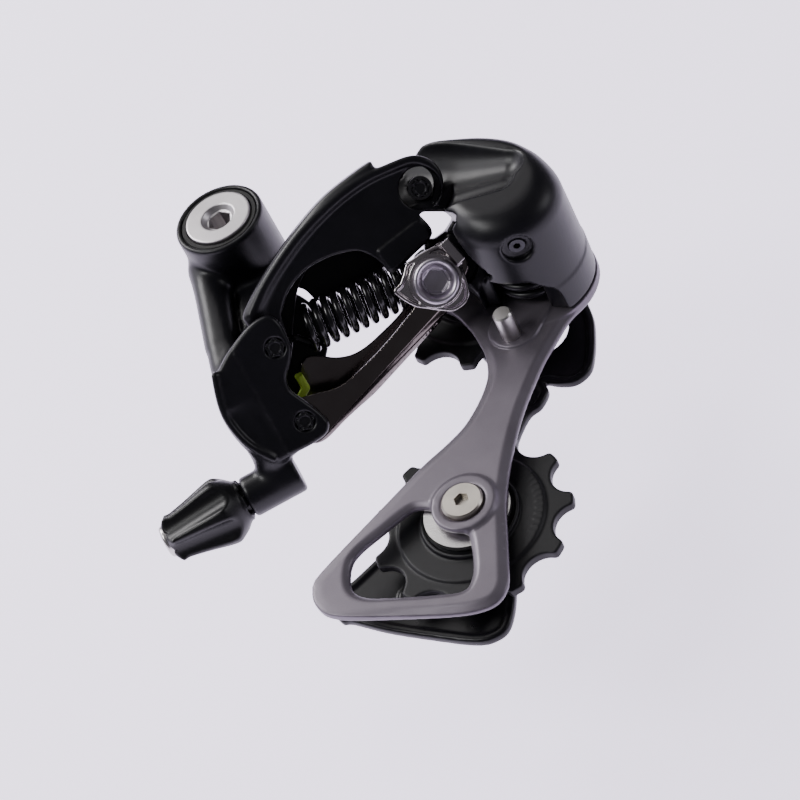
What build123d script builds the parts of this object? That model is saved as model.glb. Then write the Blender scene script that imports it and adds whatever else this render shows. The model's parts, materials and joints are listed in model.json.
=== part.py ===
from build123d import *
import os
from math import cos, sin, pi, radians

# Rear bicycle derailleur. Millimetres. The origin is the middle of the face that meets the
# frame's hanger, on the hanger bolt's axis. +Z points outboard, away from the wheel, and +X
# points from the hanger bolt to the cage pivot.

# ---- Clearances -------------------------------------------------------------------------
running_gap = 0.05      # radial, shaft in a plain bearing
seat_gap = 0.02         # radial, pieces that are fixed in each other
side_gap = 0.2          # beside links, pulleys and rotating faces

# ---- Hanger bolt and bracket pivot --------------------------------------------------------
hanger_thread_radius = 5.0
hanger_thread_length = 10.0
bolt_shaft_radius = 6.0
bolt_head_radius = 8.0
bolt_head_thickness = 2.0
bolt_head_top = 19.5
hex_socket_flats = 5.0
hex_socket_depth = 6.0
boss_radius = 10.7
boss_bottom = 2.7
boss_top = 19.1
spring_room_radius = 9.4
spring_room_top = 14.2
bearing_wall = 1.1
stop_plate_thickness = 1.2
stop_plate_radius = 10.4
snap_ring_thickness = 0.6
stop_screw_angle = 127.7     # direction of the screw lug, from +X
stop_screw_reach = 13.0      # screw axis from the bolt axis
stop_screw_height = 5.4
m4_radius = 2.0

# ---- Linkage ------------------------------------------------------------------------------
pin_azimuth = -52.3     # direction that the four link pins point, about Z
pin_tilt = 50.0         # and their tilt from Z
link_origin = (19.0, -27.6, 6.5)       # outer link's bracket pin, half way along it
link_span = (44.9, 15.5)               # from bracket pin to knuckle pin, on both links
pin_spacing = (-2.0, -17.4)            # from the outer link's pin to the inner link's pin
pin_radius = 2.0
pin_end_inset = 0.2
bush_wall = 0.6
link_half_width = 7.6
lug_thickness = 2.3
ear_thickness = 3.0
lug_radius = 4.6
link_wall = 2.8
steel_sheet = 1.5
spring_outer_radius = 5.6
spring_wire = 1.7
spring_pitch = 2.4
spring_turns = 11

# ---- Cable adjuster and clamp -------------------------------------------------------------
adjuster_end = (-9.4, -27.0, 4.0)      # socket's end nearest the links
socket_length = 12.4
socket_radius = 4.75
adjuster_thread_radius = 2.5
knob_length = 19.3
knob_widest = 8.2
knob_outer = 5.5
knob_neck = 5.0
cable_hole_radius = 1.1
barrel_cup_radius = 3.8
barrel_stand_out = 1.4
housing_seat_radius = 2.6
housing_seat_depth = 8.0
clamp_centre = (38.1, -3.9)
clamp_radius = 7.4
clamp_thickness = 2.0
clamp_sweep = 8.8       # room round the knuckle's pin for the clamp as the links swing
clamp_head_radius = 5.0
clamp_head_height = 4.2

# ---- Cage pivot knuckle -------------------------------------------------------------------
cage_pivot = (72.0, 0.0)
knuckle_radius = 13.4
knuckle_top = 25.4
knuckle_edge = 4.5
cage_axle_radius = 4.0
cage_axle_top = 21.5
cage_spring_room_radius = 10.0
cage_spring_room_top = 12.0

# ---- Cage and pulleys ---------------------------------------------------------------------
pulley_plane = -11.0
pulley_teeth = 11
chain_pitch = 12.7
roller_radius = 4.0
pulley_tip_radius = 22.7
tooth_thickness = 2.2
cage_gap = 8.8          # between the two plates
plate_thickness = 2.2
inner_plate_thickness = 2.0
guide_centre = (55.0, 1.8)
tension_centre = (70.6, -61.7)
collar_radius = 13.9
pulley_bolt_radius = 2.5
pulley_bush_radius = 4.0
cap_radius = 9.6
cap_thickness = 1.2
stop_pin_place = (70.0, -16.4)
stop_pin_radius = 2.2
stop_pin_top = 3.5

# ---- Values worked out from those ---------------------------------------------------------
tilt, turn = radians(pin_tilt), radians(pin_azimuth)
pin_direction = Vector(sin(tilt) * cos(turn), sin(tilt) * sin(turn), cos(tilt))
across = Vector(-sin(turn), cos(turn), 0)
link_plane = Plane(origin=link_origin, x_dir=across, z_dir=pin_direction)
pin_a = (0.0, 0.0)
pin_b = pin_spacing
pin_d = link_span
pin_c = (pin_spacing[0] + link_span[0], pin_spacing[1] + link_span[1])
pin_room = pin_radius + running_gap
bush_radius = pin_room + bush_wall
link_inside = link_half_width - lug_thickness
ear_inside = link_half_width + side_gap
ear_outside = ear_inside + ear_thickness
tongue_half_width = link_inside - side_gap
bracket_pin_half = ear_outside - pin_end_inset
knuckle_pin_half = link_half_width - pin_end_inset / 2
plate_top = pulley_plane + cage_gap / 2 + plate_thickness
plate_bottom = plate_top - plate_thickness
inner_plate_top = pulley_plane - cage_gap / 2
inner_plate_bottom = inner_plate_top - inner_plate_thickness
knuckle_bottom = plate_top + 1.5 * side_gap
hub_half_width = cage_gap / 2 - cap_thickness - side_gap
pitch_radius = chain_pitch / 2 / sin(pi / pulley_teeth)
bearing_radius = bolt_shaft_radius + running_gap + bearing_wall
stop_plate_top = boss_bottom - side_gap
stop_plate_bottom = stop_plate_top - stop_plate_thickness
snap_ring_bottom = stop_plate_bottom - snap_ring_thickness


def tube(outer, inner, low, high, at=(0, 0)):
    """A round tube, or a rod where inner is 0, along Z."""
    place = Pos(at[0], at[1], low)
    low_end = (Align.CENTER, Align.CENTER, Align.MIN)
    solid = place * Cylinder(outer, high - low, align=low_end)
    if inner:
        solid -= place * Cylinder(inner, high - low, align=low_end)
    return solid


def pin_tube(outer, inner, low, high, at):
    """The same, along the link pins, at a place in the link plane."""
    return link_plane.location * tube(outer, inner, low, high, at)


def rounded(points, radius):
    """A closed outline with rounded corners, as a face."""
    return make_face(FilletPolyline(*points, radius=radius, close=True))


def disc(at, radius):
    return Pos(at[0], at[1]) * Circle(radius)


def hull(*circles):
    """The outline round two or more circles, as a belt goes round pulleys."""
    edges = [edge for at, radius in circles for edge in disc(at, radius).edges()]
    return make_hull(edges)


def plate(face, low, high):
    return extrude(Pos(0, 0, low) * face, amount=high - low, dir=(0, 0, 1))


def link_slab(face, low, high):
    """A plate square to the link pins."""
    return link_plane.location * plate(face, low, high)


def coil(mean_radius, wire_radius, pitch, turns, low=0.0):
    """A round-wire coil along Z, standing on the height low."""
    path = Pos(0, 0, low + wire_radius) * Helix(pitch, pitch * turns, mean_radius)
    section = Plane(origin=path @ 0, z_dir=path % 0) * Circle(wire_radius)
    return sweep(section, path=path, is_frenet=True)


def hex_recess(flats, low, high, at=(0, 0)):
    return plate(Pos(at[0], at[1]) * RegularPolygon(flats / 2, 6, major_radius=False), low, high)


# ---- Hanger side ---------------------------------------------------------------------------

def hanger_bolt():
    """Pivot bolt: thread, shoulder, shaft, snap-ring groove and socket head."""
    bolt = tube(hanger_thread_radius, 0, -hanger_thread_length, 0.2)
    bolt += tube(bolt_shaft_radius, 0, 0, bolt_head_top - bolt_head_thickness)
    bolt += tube(bolt_head_radius, 0, bolt_head_top - bolt_head_thickness, bolt_head_top)
    bolt = chamfer(bolt.faces().sort_by(Axis.Z)[0].edges(), 0.8)
    bolt = chamfer(bolt.faces().sort_by(Axis.Z)[-1].edges(), 0.4)
    groove_top = snap_ring_bottom + snap_ring_thickness
    bolt -= tube(bolt_shaft_radius + 1, bolt_shaft_radius - 0.5, snap_ring_bottom, groove_top)
    bolt -= hex_recess(hex_socket_flats, bolt_head_top - hex_socket_depth, bolt_head_top)
    return bolt - cone_lead_in(hex_socket_flats * 0.62, bolt_head_top)


def cone_lead_in(radius, top):
    """The countersink at the mouth of a hexagon socket."""
    return Pos(0, 0, top) * Cone(radius * 0.6, radius, radius * 0.4,
                                 align=(Align.CENTER, Align.CENTER, Align.MAX))


def snap_ring():
    ring = tube(bolt_shaft_radius + 1.6, bolt_shaft_radius - 0.45, snap_ring_bottom,
                snap_ring_bottom + snap_ring_thickness - 0.05)
    gap = Pos(0, bolt_shaft_radius, snap_ring_bottom) * Box(3, 6, 4)
    return ring - gap


def screw_frame():
    """Origin under the stop screw's axis, +X away from the bolt, +Y along the screw's push."""
    return Rot(0, 0, stop_screw_angle) * Pos(stop_screw_reach, 0, 0)


def b_stop_plate():
    """Plate that meets the frame's hanger, with the bent tab that the stop screw pushes."""
    base = disc((0, 0), stop_plate_radius)
    arm = Rot(0, 0, stop_screw_angle) * Pos(stop_screw_reach - 4, 6.5) * Rectangle(14, 5)
    solid = plate(base + arm, stop_plate_bottom, stop_plate_top)
    tab_height = stop_screw_height + m4_radius - stop_plate_bottom
    tab = Pos(0, 7.0 + stop_plate_thickness / 2, stop_plate_bottom + tab_height / 2)
    solid += screw_frame() * tab * Box(6, stop_plate_thickness, tab_height)
    return solid - tube(bolt_shaft_radius + running_gap, 0, stop_plate_bottom, stop_plate_top)


def b_tension_screw():
    """Stop screw that sets the bracket's angle, with a cross-slotted head."""
    turn_flat = Rot(-90, 0, 0)
    shank = tube(m4_radius - seat_gap, 0, -5.0, 7.0 - seat_gap)
    head = tube(3.4, 0, -7.4, -5.0)
    slot = Pos(0, 0, -7.4) * (Box(4.6, 0.9, 2.0) + Box(0.9, 4.6, 2.0))
    return screw_frame() * Pos(0, 0, stop_screw_height) * turn_flat * (shank + head - slot)


# ---- Bracket -------------------------------------------------------------------------------

def bracket_front_face():
    """Outline of the front ear, in the link plane."""
    points = [(-4.0, 6.8), (2.0, 8.2), (4.2, 3.0), (3.6, -2.8), (-1.4, -7.0), (-1.4, -10.6),
              (1.0, -14.6), (3.6, -19.6), (0.4, -23.0), (-15.2, -23.0), (-16.4, -8.0),
              (-14.4, 0.6)]
    radii = [4.0, 3.2, 3.0, 2.4, 1.6, 1.8, 3.0, 2.6, 3.0, 3.0, 8.0, 5.0]
    return make_face(FilletPolyline(*points, radius=radii, close=True))


def bracket():
    """The forged bracket knuckle: boss, arm, two ears, spine and adjuster socket."""
    boss = tube(boss_radius, 0, boss_bottom, boss_top)
    boss = chamfer(boss.faces().sort_by(Axis.Z)[-1].edges(), 0.5)
    arm = rounded([(-10.2, -3.0), (-8.2, -12.0), (-2.6, -22.0), (4.5, -36.0), (13.0, -43.0),
                   (13.0, -33.0), (5.4, -19.0), (3.6, -9.0), (0.0, 0.0)], 1.5)
    body = boss + plate(arm, -9.0, 9.0)
    body += link_slab(bracket_front_face(), ear_inside, ear_outside)
    rear = hull((pin_a, 6.4), (pin_b, 4.8), ((-12.0, -14.0), 4.0))
    body += link_slab(rear, -ear_outside, -ear_inside)
    web = hull(((0.0, 3.0), 6.0), ((0.5, 19.0), 7.0))
    body += link_slab(web, -ear_outside - 6.0, -ear_inside)
    spine = rounded([(-16.4, -23.5), (-8.6, -23.0), (-8.6, 1.5), (-16.4, -1.5)], 2.0)
    body += link_slab(spine, -ear_outside, ear_outside)
    socket = adjuster_frame() * tube(socket_radius, 0, 0, socket_length)
    socket_x, socket_y, socket_q = adjuster_end
    neck = rounded([(socket_x, socket_y), (socket_x + 1.0, pin_b[1] - 3),
                    (-14.6, pin_b[1] - 3), (-17.5, socket_y)], 1.0)
    body += socket + link_slab(neck, 2.0, ear_outside)
    body += screw_frame() * Pos(-2.2, 1.0, stop_screw_height) * Box(9.4, 6.0, 6.0)
    return cut_bracket(body)


def cut_bracket(body):
    """Bores, spring room, pin holes and the room for the hanger."""
    body -= tube(boss_radius + 1.6, 0, -40.0, boss_bottom)
    body -= tube(spring_room_radius, 0, boss_bottom, spring_room_top)
    body -= tube(bearing_radius + seat_gap, 0, boss_bottom, boss_top)
    seat = bolt_head_top - bolt_head_thickness - side_gap
    body -= tube(spring_room_radius, 0, seat, boss_top + 1)
    for pin in (pin_a, pin_b):
        body -= pin_tube(pin_radius + seat_gap, 0, -30.0, 30.0, pin)
    body -= adjuster_frame() * tube(adjuster_thread_radius + seat_gap, 0, 2.5, socket_length + 1)
    body -= adjuster_frame() * tube(cable_hole_radius, 0, -12.0, 4.0)
    thread = Rot(-90, 0, 0) * tube(m4_radius, 0, -6.0, 8.0)
    body -= screw_frame() * Pos(0, 0, stop_screw_height) * thread
    for place in limit_screw_places():
        body -= link_plane.location * place * tube(m4_radius, 0, -3.0, 10.0)
    return body.solids().sort_by(SortBy.VOLUME)[-1]


def b_bush():
    low, high = boss_bottom + side_gap, bolt_head_top - bolt_head_thickness - 2 * side_gap
    return tube(bearing_radius, bolt_shaft_radius + running_gap, low, high)


def b_spring():
    """Torsion spring round the bracket's bush."""
    wire = 0.75
    mean = (bearing_radius + spring_room_radius) / 2
    turns = 5
    pitch = (spring_room_top - boss_bottom - 2 * wire - 2 * side_gap) / turns
    return coil(mean, wire, pitch, turns, boss_bottom + side_gap)


def b_seal_ring():
    low = bolt_head_top - bolt_head_thickness - side_gap
    ring = tube(spring_room_radius - seat_gap, bolt_head_radius + running_gap, low, boss_top - 0.3)
    return chamfer(ring.faces().sort_by(Axis.Z)[-1].edges(), 0.25)


def link_pin(at, half_length):
    """Staked pin: plain rod with a shallow dimple in each end."""
    rod = tube(pin_radius, 0, -half_length, half_length, at)
    for end in (-half_length, half_length):
        rod -= Pos(at[0], at[1], end) * Sphere(0.9)
    return link_plane.location * rod


def limit_screw_places():
    """Two limit screws, side by side in the bracket's spine, pointing away from the links."""
    return [Pos(-16.4, -6.0, q) * Rot(0, 90, 0) for q in (-3.4, 3.4)]


def limit_screws():
    """High and low limit screws, cross-slotted."""
    screw = tube(m4_radius - seat_gap, 0, -0.6, 7.6)
    slot = Pos(0, 0, -0.6) * (Box(2.8, 0.8, 1.6) + Box(0.8, 2.8, 1.6))
    return [link_plane.location * place * (screw - slot) for place in limit_screw_places()]


# ---- Cable adjuster --------------------------------------------------------------------------

def adjuster_frame():
    """Origin at the socket's end nearest the links, +Z out along the adjuster."""
    return link_plane.location * Pos(*adjuster_end) * Rot(0, -90, 0)


def adjuster_barrel():
    """Metal barrel: a thread in the socket and a cup in the knob for the cable housing."""
    knob_low = socket_length + side_gap
    end = knob_low + knob_length + barrel_stand_out
    barrel = tube(adjuster_thread_radius, 0, 4.5, knob_low + 1.0)
    barrel += tube(barrel_cup_radius, 0, knob_low + 1.0, end)
    barrel = fillet(barrel.faces().sort_by(Axis.Z)[-1].edges(), 0.7)
    barrel -= tube(cable_hole_radius, 0, 4.0, end)
    barrel -= tube(housing_seat_radius, 0, end - housing_seat_depth, end + 1)
    return adjuster_frame() * barrel


def adjuster_knob():
    """Six-lobed grip, widest near its neck."""
    low = socket_length + side_gap
    outline = [(0, 0), (knob_neck, 0), (knob_neck + 0.2, 1.6), (knob_widest - 1.0, 4.6),
               (knob_widest, 6.2), (knob_outer + 0.8, knob_length - 0.4),
               (knob_outer, knob_length), (0, knob_length)]
    knob = revolve(Plane.XZ * make_face(Polyline(*outline, close=True)), Axis.Z)
    flute_path = Pos(knob_widest + 2.7, 0, 0)
    flute = flute_path * Rot(0, -9, 0) * Cylinder(3.4, 40)
    for step in range(6):
        knob -= Rot(0, 0, 60 * step) * flute
    knob -= tube(barrel_cup_radius + seat_gap, 0, 1.0, knob_length + 1)
    knob -= tube(adjuster_thread_radius + side_gap, 0, -1, 2.0)
    return adjuster_frame() * Pos(0, 0, low) * knob


# ---- Links -------------------------------------------------------------------------------------

def outer_roof():
    """Section of the curved wall that joins the outer link's two sides."""
    outer = [(-3.4, 6.6), (-2.2, 11.0), (6.0, 15.6), (15.8, 20.6), (25.0, 24.0), (33.5, 25.6),
             (38.0, 25.9)]
    inner = [(38.0, 25.9 - link_wall), (33.5, 25.6 - link_wall), (25.6, 23.9 - link_wall),
             (16.8, 20.2 - link_wall), (7.6, 15.0 - link_wall), (1.0, 11.0 - link_wall),
             (-1.0, 7.2)]
    edge_out, edge_in = Spline(*outer), Spline(*inner)
    ends = Line(outer[-1], inner[0]) + Line(inner[-1], outer[0])
    return make_face([*edge_out.edges(), *edge_in.edges(), *ends.edges()])


def outer_link_side(front):
    """Side plate of the outer link: both lugs, the web under the roof and its stop pad."""
    crown = [(-3.0, 7.0), (6.0, 14.6), (15.8, 19.6), (25.0, 23.0), (36.0, 24.6), (44.0, 20.0)]
    if front:
        arch = [(42.0, 5.0), (30.8, 1.8), (27.6, 8.4), (24.0, 11.4), (16.0, 12.6), (7.0, 8.6),
                (4.4, 1.0)]
    else:
        arch = [(42.0, 11.0), (33.0, 14.0), (22.0, 13.4), (12.0, 9.6), (6.0, 1.0)]
    side = rounded(crown + arch, 1.2)
    return side + disc(pin_a, lug_radius) + disc(pin_d, lug_radius + 0.8)


def outer_link():
    """Forged outer link: a curved wall with a side plate at each edge."""
    link = link_slab(outer_roof(), -link_half_width, link_half_width)
    link += link_slab(outer_link_side(True), link_inside, link_half_width)
    link += link_slab(outer_link_side(False), -link_half_width, -link_inside)
    for pin in (pin_a, pin_d):
        link -= pin_tube(bush_radius + seat_gap, 0, -30.0, 30.0, pin)
    return link.solids().sort_by(SortBy.VOLUME)[-1]


def link_bushes(pins, low, high):
    """Plain bushes in a link's lugs, one at each side of each pin."""
    return [pin_tube(bush_radius, pin_room, *sides, pin)
            for pin in pins for sides in ((low, high), (-high, -low))]


def inner_link():
    """Pressed steel inner link: a cross wall, a deep front side and a shallow rear side."""
    run = Vector(link_span[0], link_span[1]).normalized()
    lean = run.rotate(Axis.Z, 90)

    def point(along, up):
        spot = Vector(pin_b[0], pin_b[1]) + run * along + lean * up
        return (spot.X, spot.Y)

    length = (link_span[0] ** 2 + link_span[1] ** 2) ** 0.5
    floor = rounded([point(5.0, -3.3), point(length - 10.0, -3.3),
                     point(length - 10.0, -3.3 + steel_sheet), point(5.0, -3.3 + steel_sheet)], 0.4)
    top_edge = [point(length + 2.0, 3.0), point(length - 9.0, 3.2), point(length * 0.64, -1.4),
                point(length * 0.3, -0.9), point(6.0, 2.6), point(-3.0, 3.8)]
    rear = rounded([point(-3.0, -3.4), point(length + 2.0, -3.0)] + top_edge, 1.8)
    front = rounded([point(-2.0, -4.6), point(5.0, -6.8), point(length - 8.0, -7.8),
                     point(length + 2.0, -4.0)] + top_edge, 1.8)
    rear += disc(pin_b, 4.4) + disc(pin_c, 3.8)
    front += disc(pin_b, 4.4) + hull((pin_c, 4.4), (clamp_centre, 5.2))
    sheet_low = link_half_width - steel_sheet
    link = link_slab(floor, -link_half_width, link_half_width)
    link += link_slab(front, sheet_low, link_half_width)
    link += link_slab(rear, -link_half_width, -sheet_low)
    for pin in (pin_b, pin_c):
        link -= pin_tube(bush_radius + seat_gap, 0, -30.0, 30.0, pin)
    link -= pin_tube(2.5 + seat_gap, 0, 0.0, 30.0, clamp_centre)
    return link


def cable_clamp_plate():
    """Keyed washer that grips the cable, with a turned-up locating tab."""
    low = ear_inside
    x, y = clamp_centre
    face = disc(clamp_centre, clamp_radius - 1.4)
    face += rounded([(x - 8.6, y - 1.2), (x - 3.0, y + 5.6), (x + 3.0, y + 6.0), (x + 5.6, y - 2.0),
                     (x + 1.0, y - 6.6), (x - 4.0, y - 5.0)], 1.6)
    clamp = link_slab(face, low, low + clamp_thickness)
    tab = rounded([(x + 2.2, y + 5.0), (x + 5.8, y + 5.0), (x + 5.8, y + 8.8), (x + 2.2, y + 8.8)], 0.4)
    clamp += link_slab(tab, low, low + clamp_thickness + 1.0)
    return clamp - pin_tube(2.5 + seat_gap, 0, 0.0, 30.0, clamp_centre)


def cable_clamp_bolt():
    """Cable fixing bolt with a round head and a deep socket."""
    low = ear_inside + clamp_thickness
    bolt = tube(2.5, 0, tongue_half_width + 0.7, low)
    head = tube(clamp_head_radius, 0, low, low + clamp_head_height)
    head = chamfer(head.faces().sort_by(Axis.Z)[-1].edges(), 0.5)
    bolt += head - hex_recess(5.0, low + 1.0, low + clamp_head_height)
    return link_plane.location * Pos(*clamp_centre) * bolt


# ---- Return spring -------------------------------------------------------------------------------

def spring_line():
    """Start and direction of the return spring, from pin A to pin C."""
    start = link_plane.from_local_coords((pin_a[0], pin_a[1], 0))
    end = link_plane.from_local_coords((pin_c[0], pin_c[1], 0))
    return start, (end - start)


def spring_frame():
    """Origin at pin A, +Z towards pin C, +X along the pins."""
    start, run = spring_line()
    return Plane(origin=start, x_dir=pin_direction, z_dir=run.normalized()).location


def spring_eye(height, side):
    """The spring's end: an eye round a pin and a leg towards the coil."""
    wire_radius = spring_wire / 2
    eye_radius = pin_radius + running_gap + wire_radius + 0.2
    eye = Pos(0, 0, height) * Rot(0, 90, 0) * Torus(eye_radius, wire_radius)
    leg_low = height + side * eye_radius
    leg_high = spring_eye_to_coil(side)
    leg = tube(wire_radius, 0, min(leg_low, leg_high), max(leg_low, leg_high))
    spoke_place = Pos(0, 0, leg_high - side * wire_radius) * Rot(0, 90, 0)
    spoke = spoke_place * tube(wire_radius * 0.9, 0, -wire_radius, spring_outer_radius - wire_radius)
    return eye + leg + spoke


def spring_eye_to_coil(side):
    """Height of the coil's end next to pin A (side 1) or pin C (side -1)."""
    half = (spring_pitch * spring_turns + spring_wire) / 2
    middle = spring_line()[1].length / 2
    return middle - side * (half - 0.4)


def return_spring():
    """Extension spring: its coil and its near eye, which follow the bracket's pin."""
    mean = spring_outer_radius - spring_wire / 2
    low = spring_eye_to_coil(1) - 0.4
    windings = coil(mean, spring_wire / 2, spring_pitch, spring_turns, low)
    return spring_frame() * (windings + spring_eye(0.0, 1))


def return_spring_eye():
    """The spring's far eye, round the knuckle's pin."""
    length = spring_line()[1].length
    clear = 1.0
    eye = spring_eye(length, -1) - tube(8, 0, 0, spring_eye_to_coil(-1) + clear)
    return spring_frame() * eye


# ---- Cage pivot knuckle --------------------------------------------------------------------------

def cage_knuckle():
    """The forged knuckle that holds the cage's axle and spring, with two tongues for the links."""
    drum = tube(knuckle_radius, 0, knuckle_bottom, knuckle_top, cage_pivot)
    drum = fillet(drum.faces().sort_by(Axis.Z)[-1].edges(), knuckle_edge)
    upper = hull((cage_pivot, knuckle_radius - 0.6), ((64.0, 9.2), 8.0), ((49.6, 10.4), 6.2))
    lower = hull(((66.0, 0.0), 7.0), ((57.0, -2.0), 4.2))
    body = drum + plate(upper, 13.0, 22.4)
    body += plate(lower, 0.0, 8.6)
    tongue_d = hull((pin_d, 6.6), ((54.0, 12.0), 6.0))
    tongue_c = hull((pin_c, 4.2), ((50.0, -3.0), 4.2))
    for tongue in (tongue_d, tongue_c):
        body += link_slab(tongue, -tongue_half_width, tongue_half_width)
    lug_at = stop_lug_place()
    body += plate(hull((lug_at, 3.2), ((69.0, -6.0), 5.0)), knuckle_bottom, 3.0)
    return cut_knuckle(body)


def stop_lug_place():
    """Middle of the lug that the cage's stop pin rests against."""
    angle = radians(-117.0)
    return (cage_pivot[0] + 15.3 * cos(angle), cage_pivot[1] + 15.3 * sin(angle))


def cut_knuckle(body):
    """Axle bore, spring room, pin holes and the room that the two links swing in."""
    for low, high in ((link_inside - 0.05, 18.0), (-16.0, -link_inside + 0.05)):
        body -= pin_tube(lug_radius + 2.2, 0, low, high, pin_d)
        body -= pin_tube(6.4, 0, low, high, pin_c)
    body -= pin_tube(clamp_sweep, 0, ear_inside - side_gap, 18.0, pin_c)
    body -= pin_tube(5.4, 0, -1.1, 1.1, pin_c)
    body -= tube(cage_spring_room_radius, 0, knuckle_bottom, cage_spring_room_top, cage_pivot)
    axle_room = cage_axle_radius + running_gap + bearing_wall + seat_gap
    body -= tube(axle_room, 0, knuckle_bottom, cage_axle_top + side_gap, cage_pivot)
    for pin in (pin_c, pin_d):
        body -= pin_tube(pin_radius + seat_gap, 0, -30.0, 30.0, pin)
    body -= set_screw_frame() * tube(1.8, 0, 4.4, 16.0)
    body -= set_screw_frame() * tube(3.2, 0, 12.0, 20.0)
    return body.solids().sort_by(SortBy.VOLUME)[-1]


def set_screw_frame():
    """Origin on the cage axle's axis at the groove, +Z out along the set screw."""
    return Pos(cage_pivot[0], cage_pivot[1], 18.6) * Rot(0, 0, -64.8) * Rot(0, 90, 0)


def axle_set_screw():
    """Screw whose point runs in the axle's groove and holds the cage on."""
    screw = tube(1.8 - seat_gap, 0, 5.6, 11.6) - hex_recess(1.5, 9.6, 11.6)
    point = tube(1.2, 0, cage_axle_radius - 0.5, 5.6)
    return set_screw_frame() * (screw + point)


def knuckle_bush():
    bush = tube(cage_axle_radius + running_gap + bearing_wall, cage_axle_radius + running_gap,
                cage_spring_room_top, cage_axle_top, cage_pivot)
    return bush - set_screw_frame() * tube(1.4, 0, 0, 8.0)


def cage_spring():
    """Torsion spring that turns the cage and keeps the chain tight."""
    wire = 0.9
    turns = 5
    room = cage_spring_room_top - knuckle_bottom - 2 * wire - 4 * side_gap
    mean = (cage_spring_room_radius + cage_axle_radius) / 2 + 0.8
    return Pos(*cage_pivot, 0) * coil(mean, wire, room / turns, turns, knuckle_bottom + 2 * side_gap)


# ---- Cage ------------------------------------------------------------------------------------------

def outer_plate_outline():
    """Outer cage plate, seen from outboard: tail, waist and the lobe for the guide pulley."""
    points = [(42.6, -81.5), (57.8, -52.6), (65.4, -41.0), (67.2, -27.0), (62.5, -17.6),
              (55.6, -11.2), (46.4, -6.0), (45.6, 8.0), (62.0, 11.0), (80.5, 8.0), (81.2, -12.0),
              (78.4, -27.0), (77.2, -45.0), (80.0, -62.0), (86.0, -83.0), (80.0, -87.8),
              (50.0, -91.0)]
    radii = [3.0, 20.0, 12.0, 10.0, 12.0, 8.0, 7.0, 8.0, 5.0, 5.0, 10.0, 30.0, 30.0, 30.0, 4.5,
             4.0, 4.0]
    return make_face(FilletPolyline(*points, radius=radii, close=True))


def outer_plate_window():
    points = [(48.4, -78.4), (59.2, -62.8), (64.6, -62.8), (69.6, -67.8), (73.6, -68.0),
              (77.6, -80.6), (75.6, -83.4), (52.6, -85.8)]
    radii = [2.4, 2.0, 4.0, 3.0, 3.0, 2.6, 2.0, 2.4]
    return make_face(FilletPolyline(*points, radius=radii, close=True))


def bolt_holes(radius):
    return disc(guide_centre, radius) + disc(tension_centre, radius)


def cage_outer_plate():
    """Outer cage plate with its round collar under the knuckle and the stop-pin pad."""
    face = outer_plate_outline() + disc(cage_pivot, collar_radius)
    face += disc(tension_centre, 8.0)
    face -= outer_plate_window() - disc(tension_centre, 8.0)
    face -= bolt_holes(pulley_bolt_radius + seat_gap)
    face -= disc(cage_pivot, 3.0 + seat_gap)
    face -= disc(stop_pin_place, stop_pin_radius - 0.6 + seat_gap)
    return plate(face, plate_bottom, plate_top)


def inner_plate_outline():
    """Inner cage plate: tail, narrower waist with a chain tab, and the guard at the top."""
    points = [(43.2, -82.0), (57.0, -56.0), (64.6, -42.0), (66.4, -30.0), (63.0, -18.0),
              (54.0, -9.0), (47.4, -4.0), (47.6, 8.0), (62.0, 10.0), (79.6, 4.8), (86.0, -12.0),
              (84.8, -20.6), (74.0, -20.8), (78.4, -24.6), (73.0, -32.6), (72.6, -46.0),
              (78.0, -62.0), (83.6, -84.6), (78.6, -88.6), (60.0, -87.8), (49.0, -85.6)]
    radii = [3.0, 20.0, 12.0, 8.0, 12.0, 6.0, 6.0, 6.0, 6.0, 4.0, 6.0, 5.0, 1.0, 1.4, 1.4, 20.0,
             20.0, 3.6, 4.0, 10.0, 3.0]
    return make_face(FilletPolyline(*points, radius=radii, close=True))


def cage_inner_plate():
    face = inner_plate_outline() - disc((69.9, -5.7), 7.2)
    window = rounded([(50.4, -77.6), (59.2, -65.0), (64.6, -71.0), (72.6, -72.0), (76.6, -81.6),
                      (54.0, -82.6)], 2.0)
    face -= window
    face -= bolt_holes(pulley_bolt_radius + seat_gap)
    return plate(face, inner_plate_bottom, inner_plate_top)


def cage_axle():
    """Axle riveted to the outer plate, turning in the knuckle."""
    axle = tube(3.0, 0, plate_bottom, plate_top, cage_pivot)
    axle += tube(cage_axle_radius, 0, plate_top, cage_axle_top, cage_pivot)
    axle -= tube(cage_axle_radius + 1, cage_axle_radius - 0.7, 17.0, 20.2, cage_pivot)
    return axle


def stop_pin():
    """Pin that stops the cage against the knuckle's lug."""
    pin = tube(stop_pin_radius, 0, plate_top, stop_pin_top, stop_pin_place)
    pin = chamfer(pin.faces().sort_by(Axis.Z)[-1].edges(), 0.35)
    return pin + tube(stop_pin_radius - 0.6, 0, plate_bottom, plate_top, stop_pin_place)


def pulley_bolt(at, outboard):
    """M5 bolt through both plates, its flanged head outboard or inboard."""
    low, high = inner_plate_bottom, plate_top
    head_low, head_high = (high, high + 1.5) if outboard else (low - 1.5, low)
    bolt = tube(pulley_bolt_radius, 0, low, high, at)
    head = tube(4.6, 0, head_low, head_high, at)
    face = head.faces().sort_by(Axis.Z)[-1 if outboard else 0]
    head = chamfer(face.edges(), 0.4)
    recess_low = head_high - 1.3 if outboard else head_low - 0.1
    return bolt + head - hex_recess(3.0, recess_low, recess_low + 1.4, at)


def pulley_bush(at):
    half = hub_half_width + side_gap
    return tube(pulley_bush_radius, pulley_bolt_radius + seat_gap, pulley_plane - half,
                pulley_plane + half, at)


def dust_caps(at):
    """Pressed steel caps, one each side of a pulley's hub."""
    caps = []
    for side in (1, -1):
        low = pulley_plane + side * (cage_gap / 2 - cap_thickness / 2) - cap_thickness / 2
        caps.append(tube(cap_radius, pulley_bolt_radius + seat_gap, low, low + cap_thickness, at))
    return caps


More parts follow.
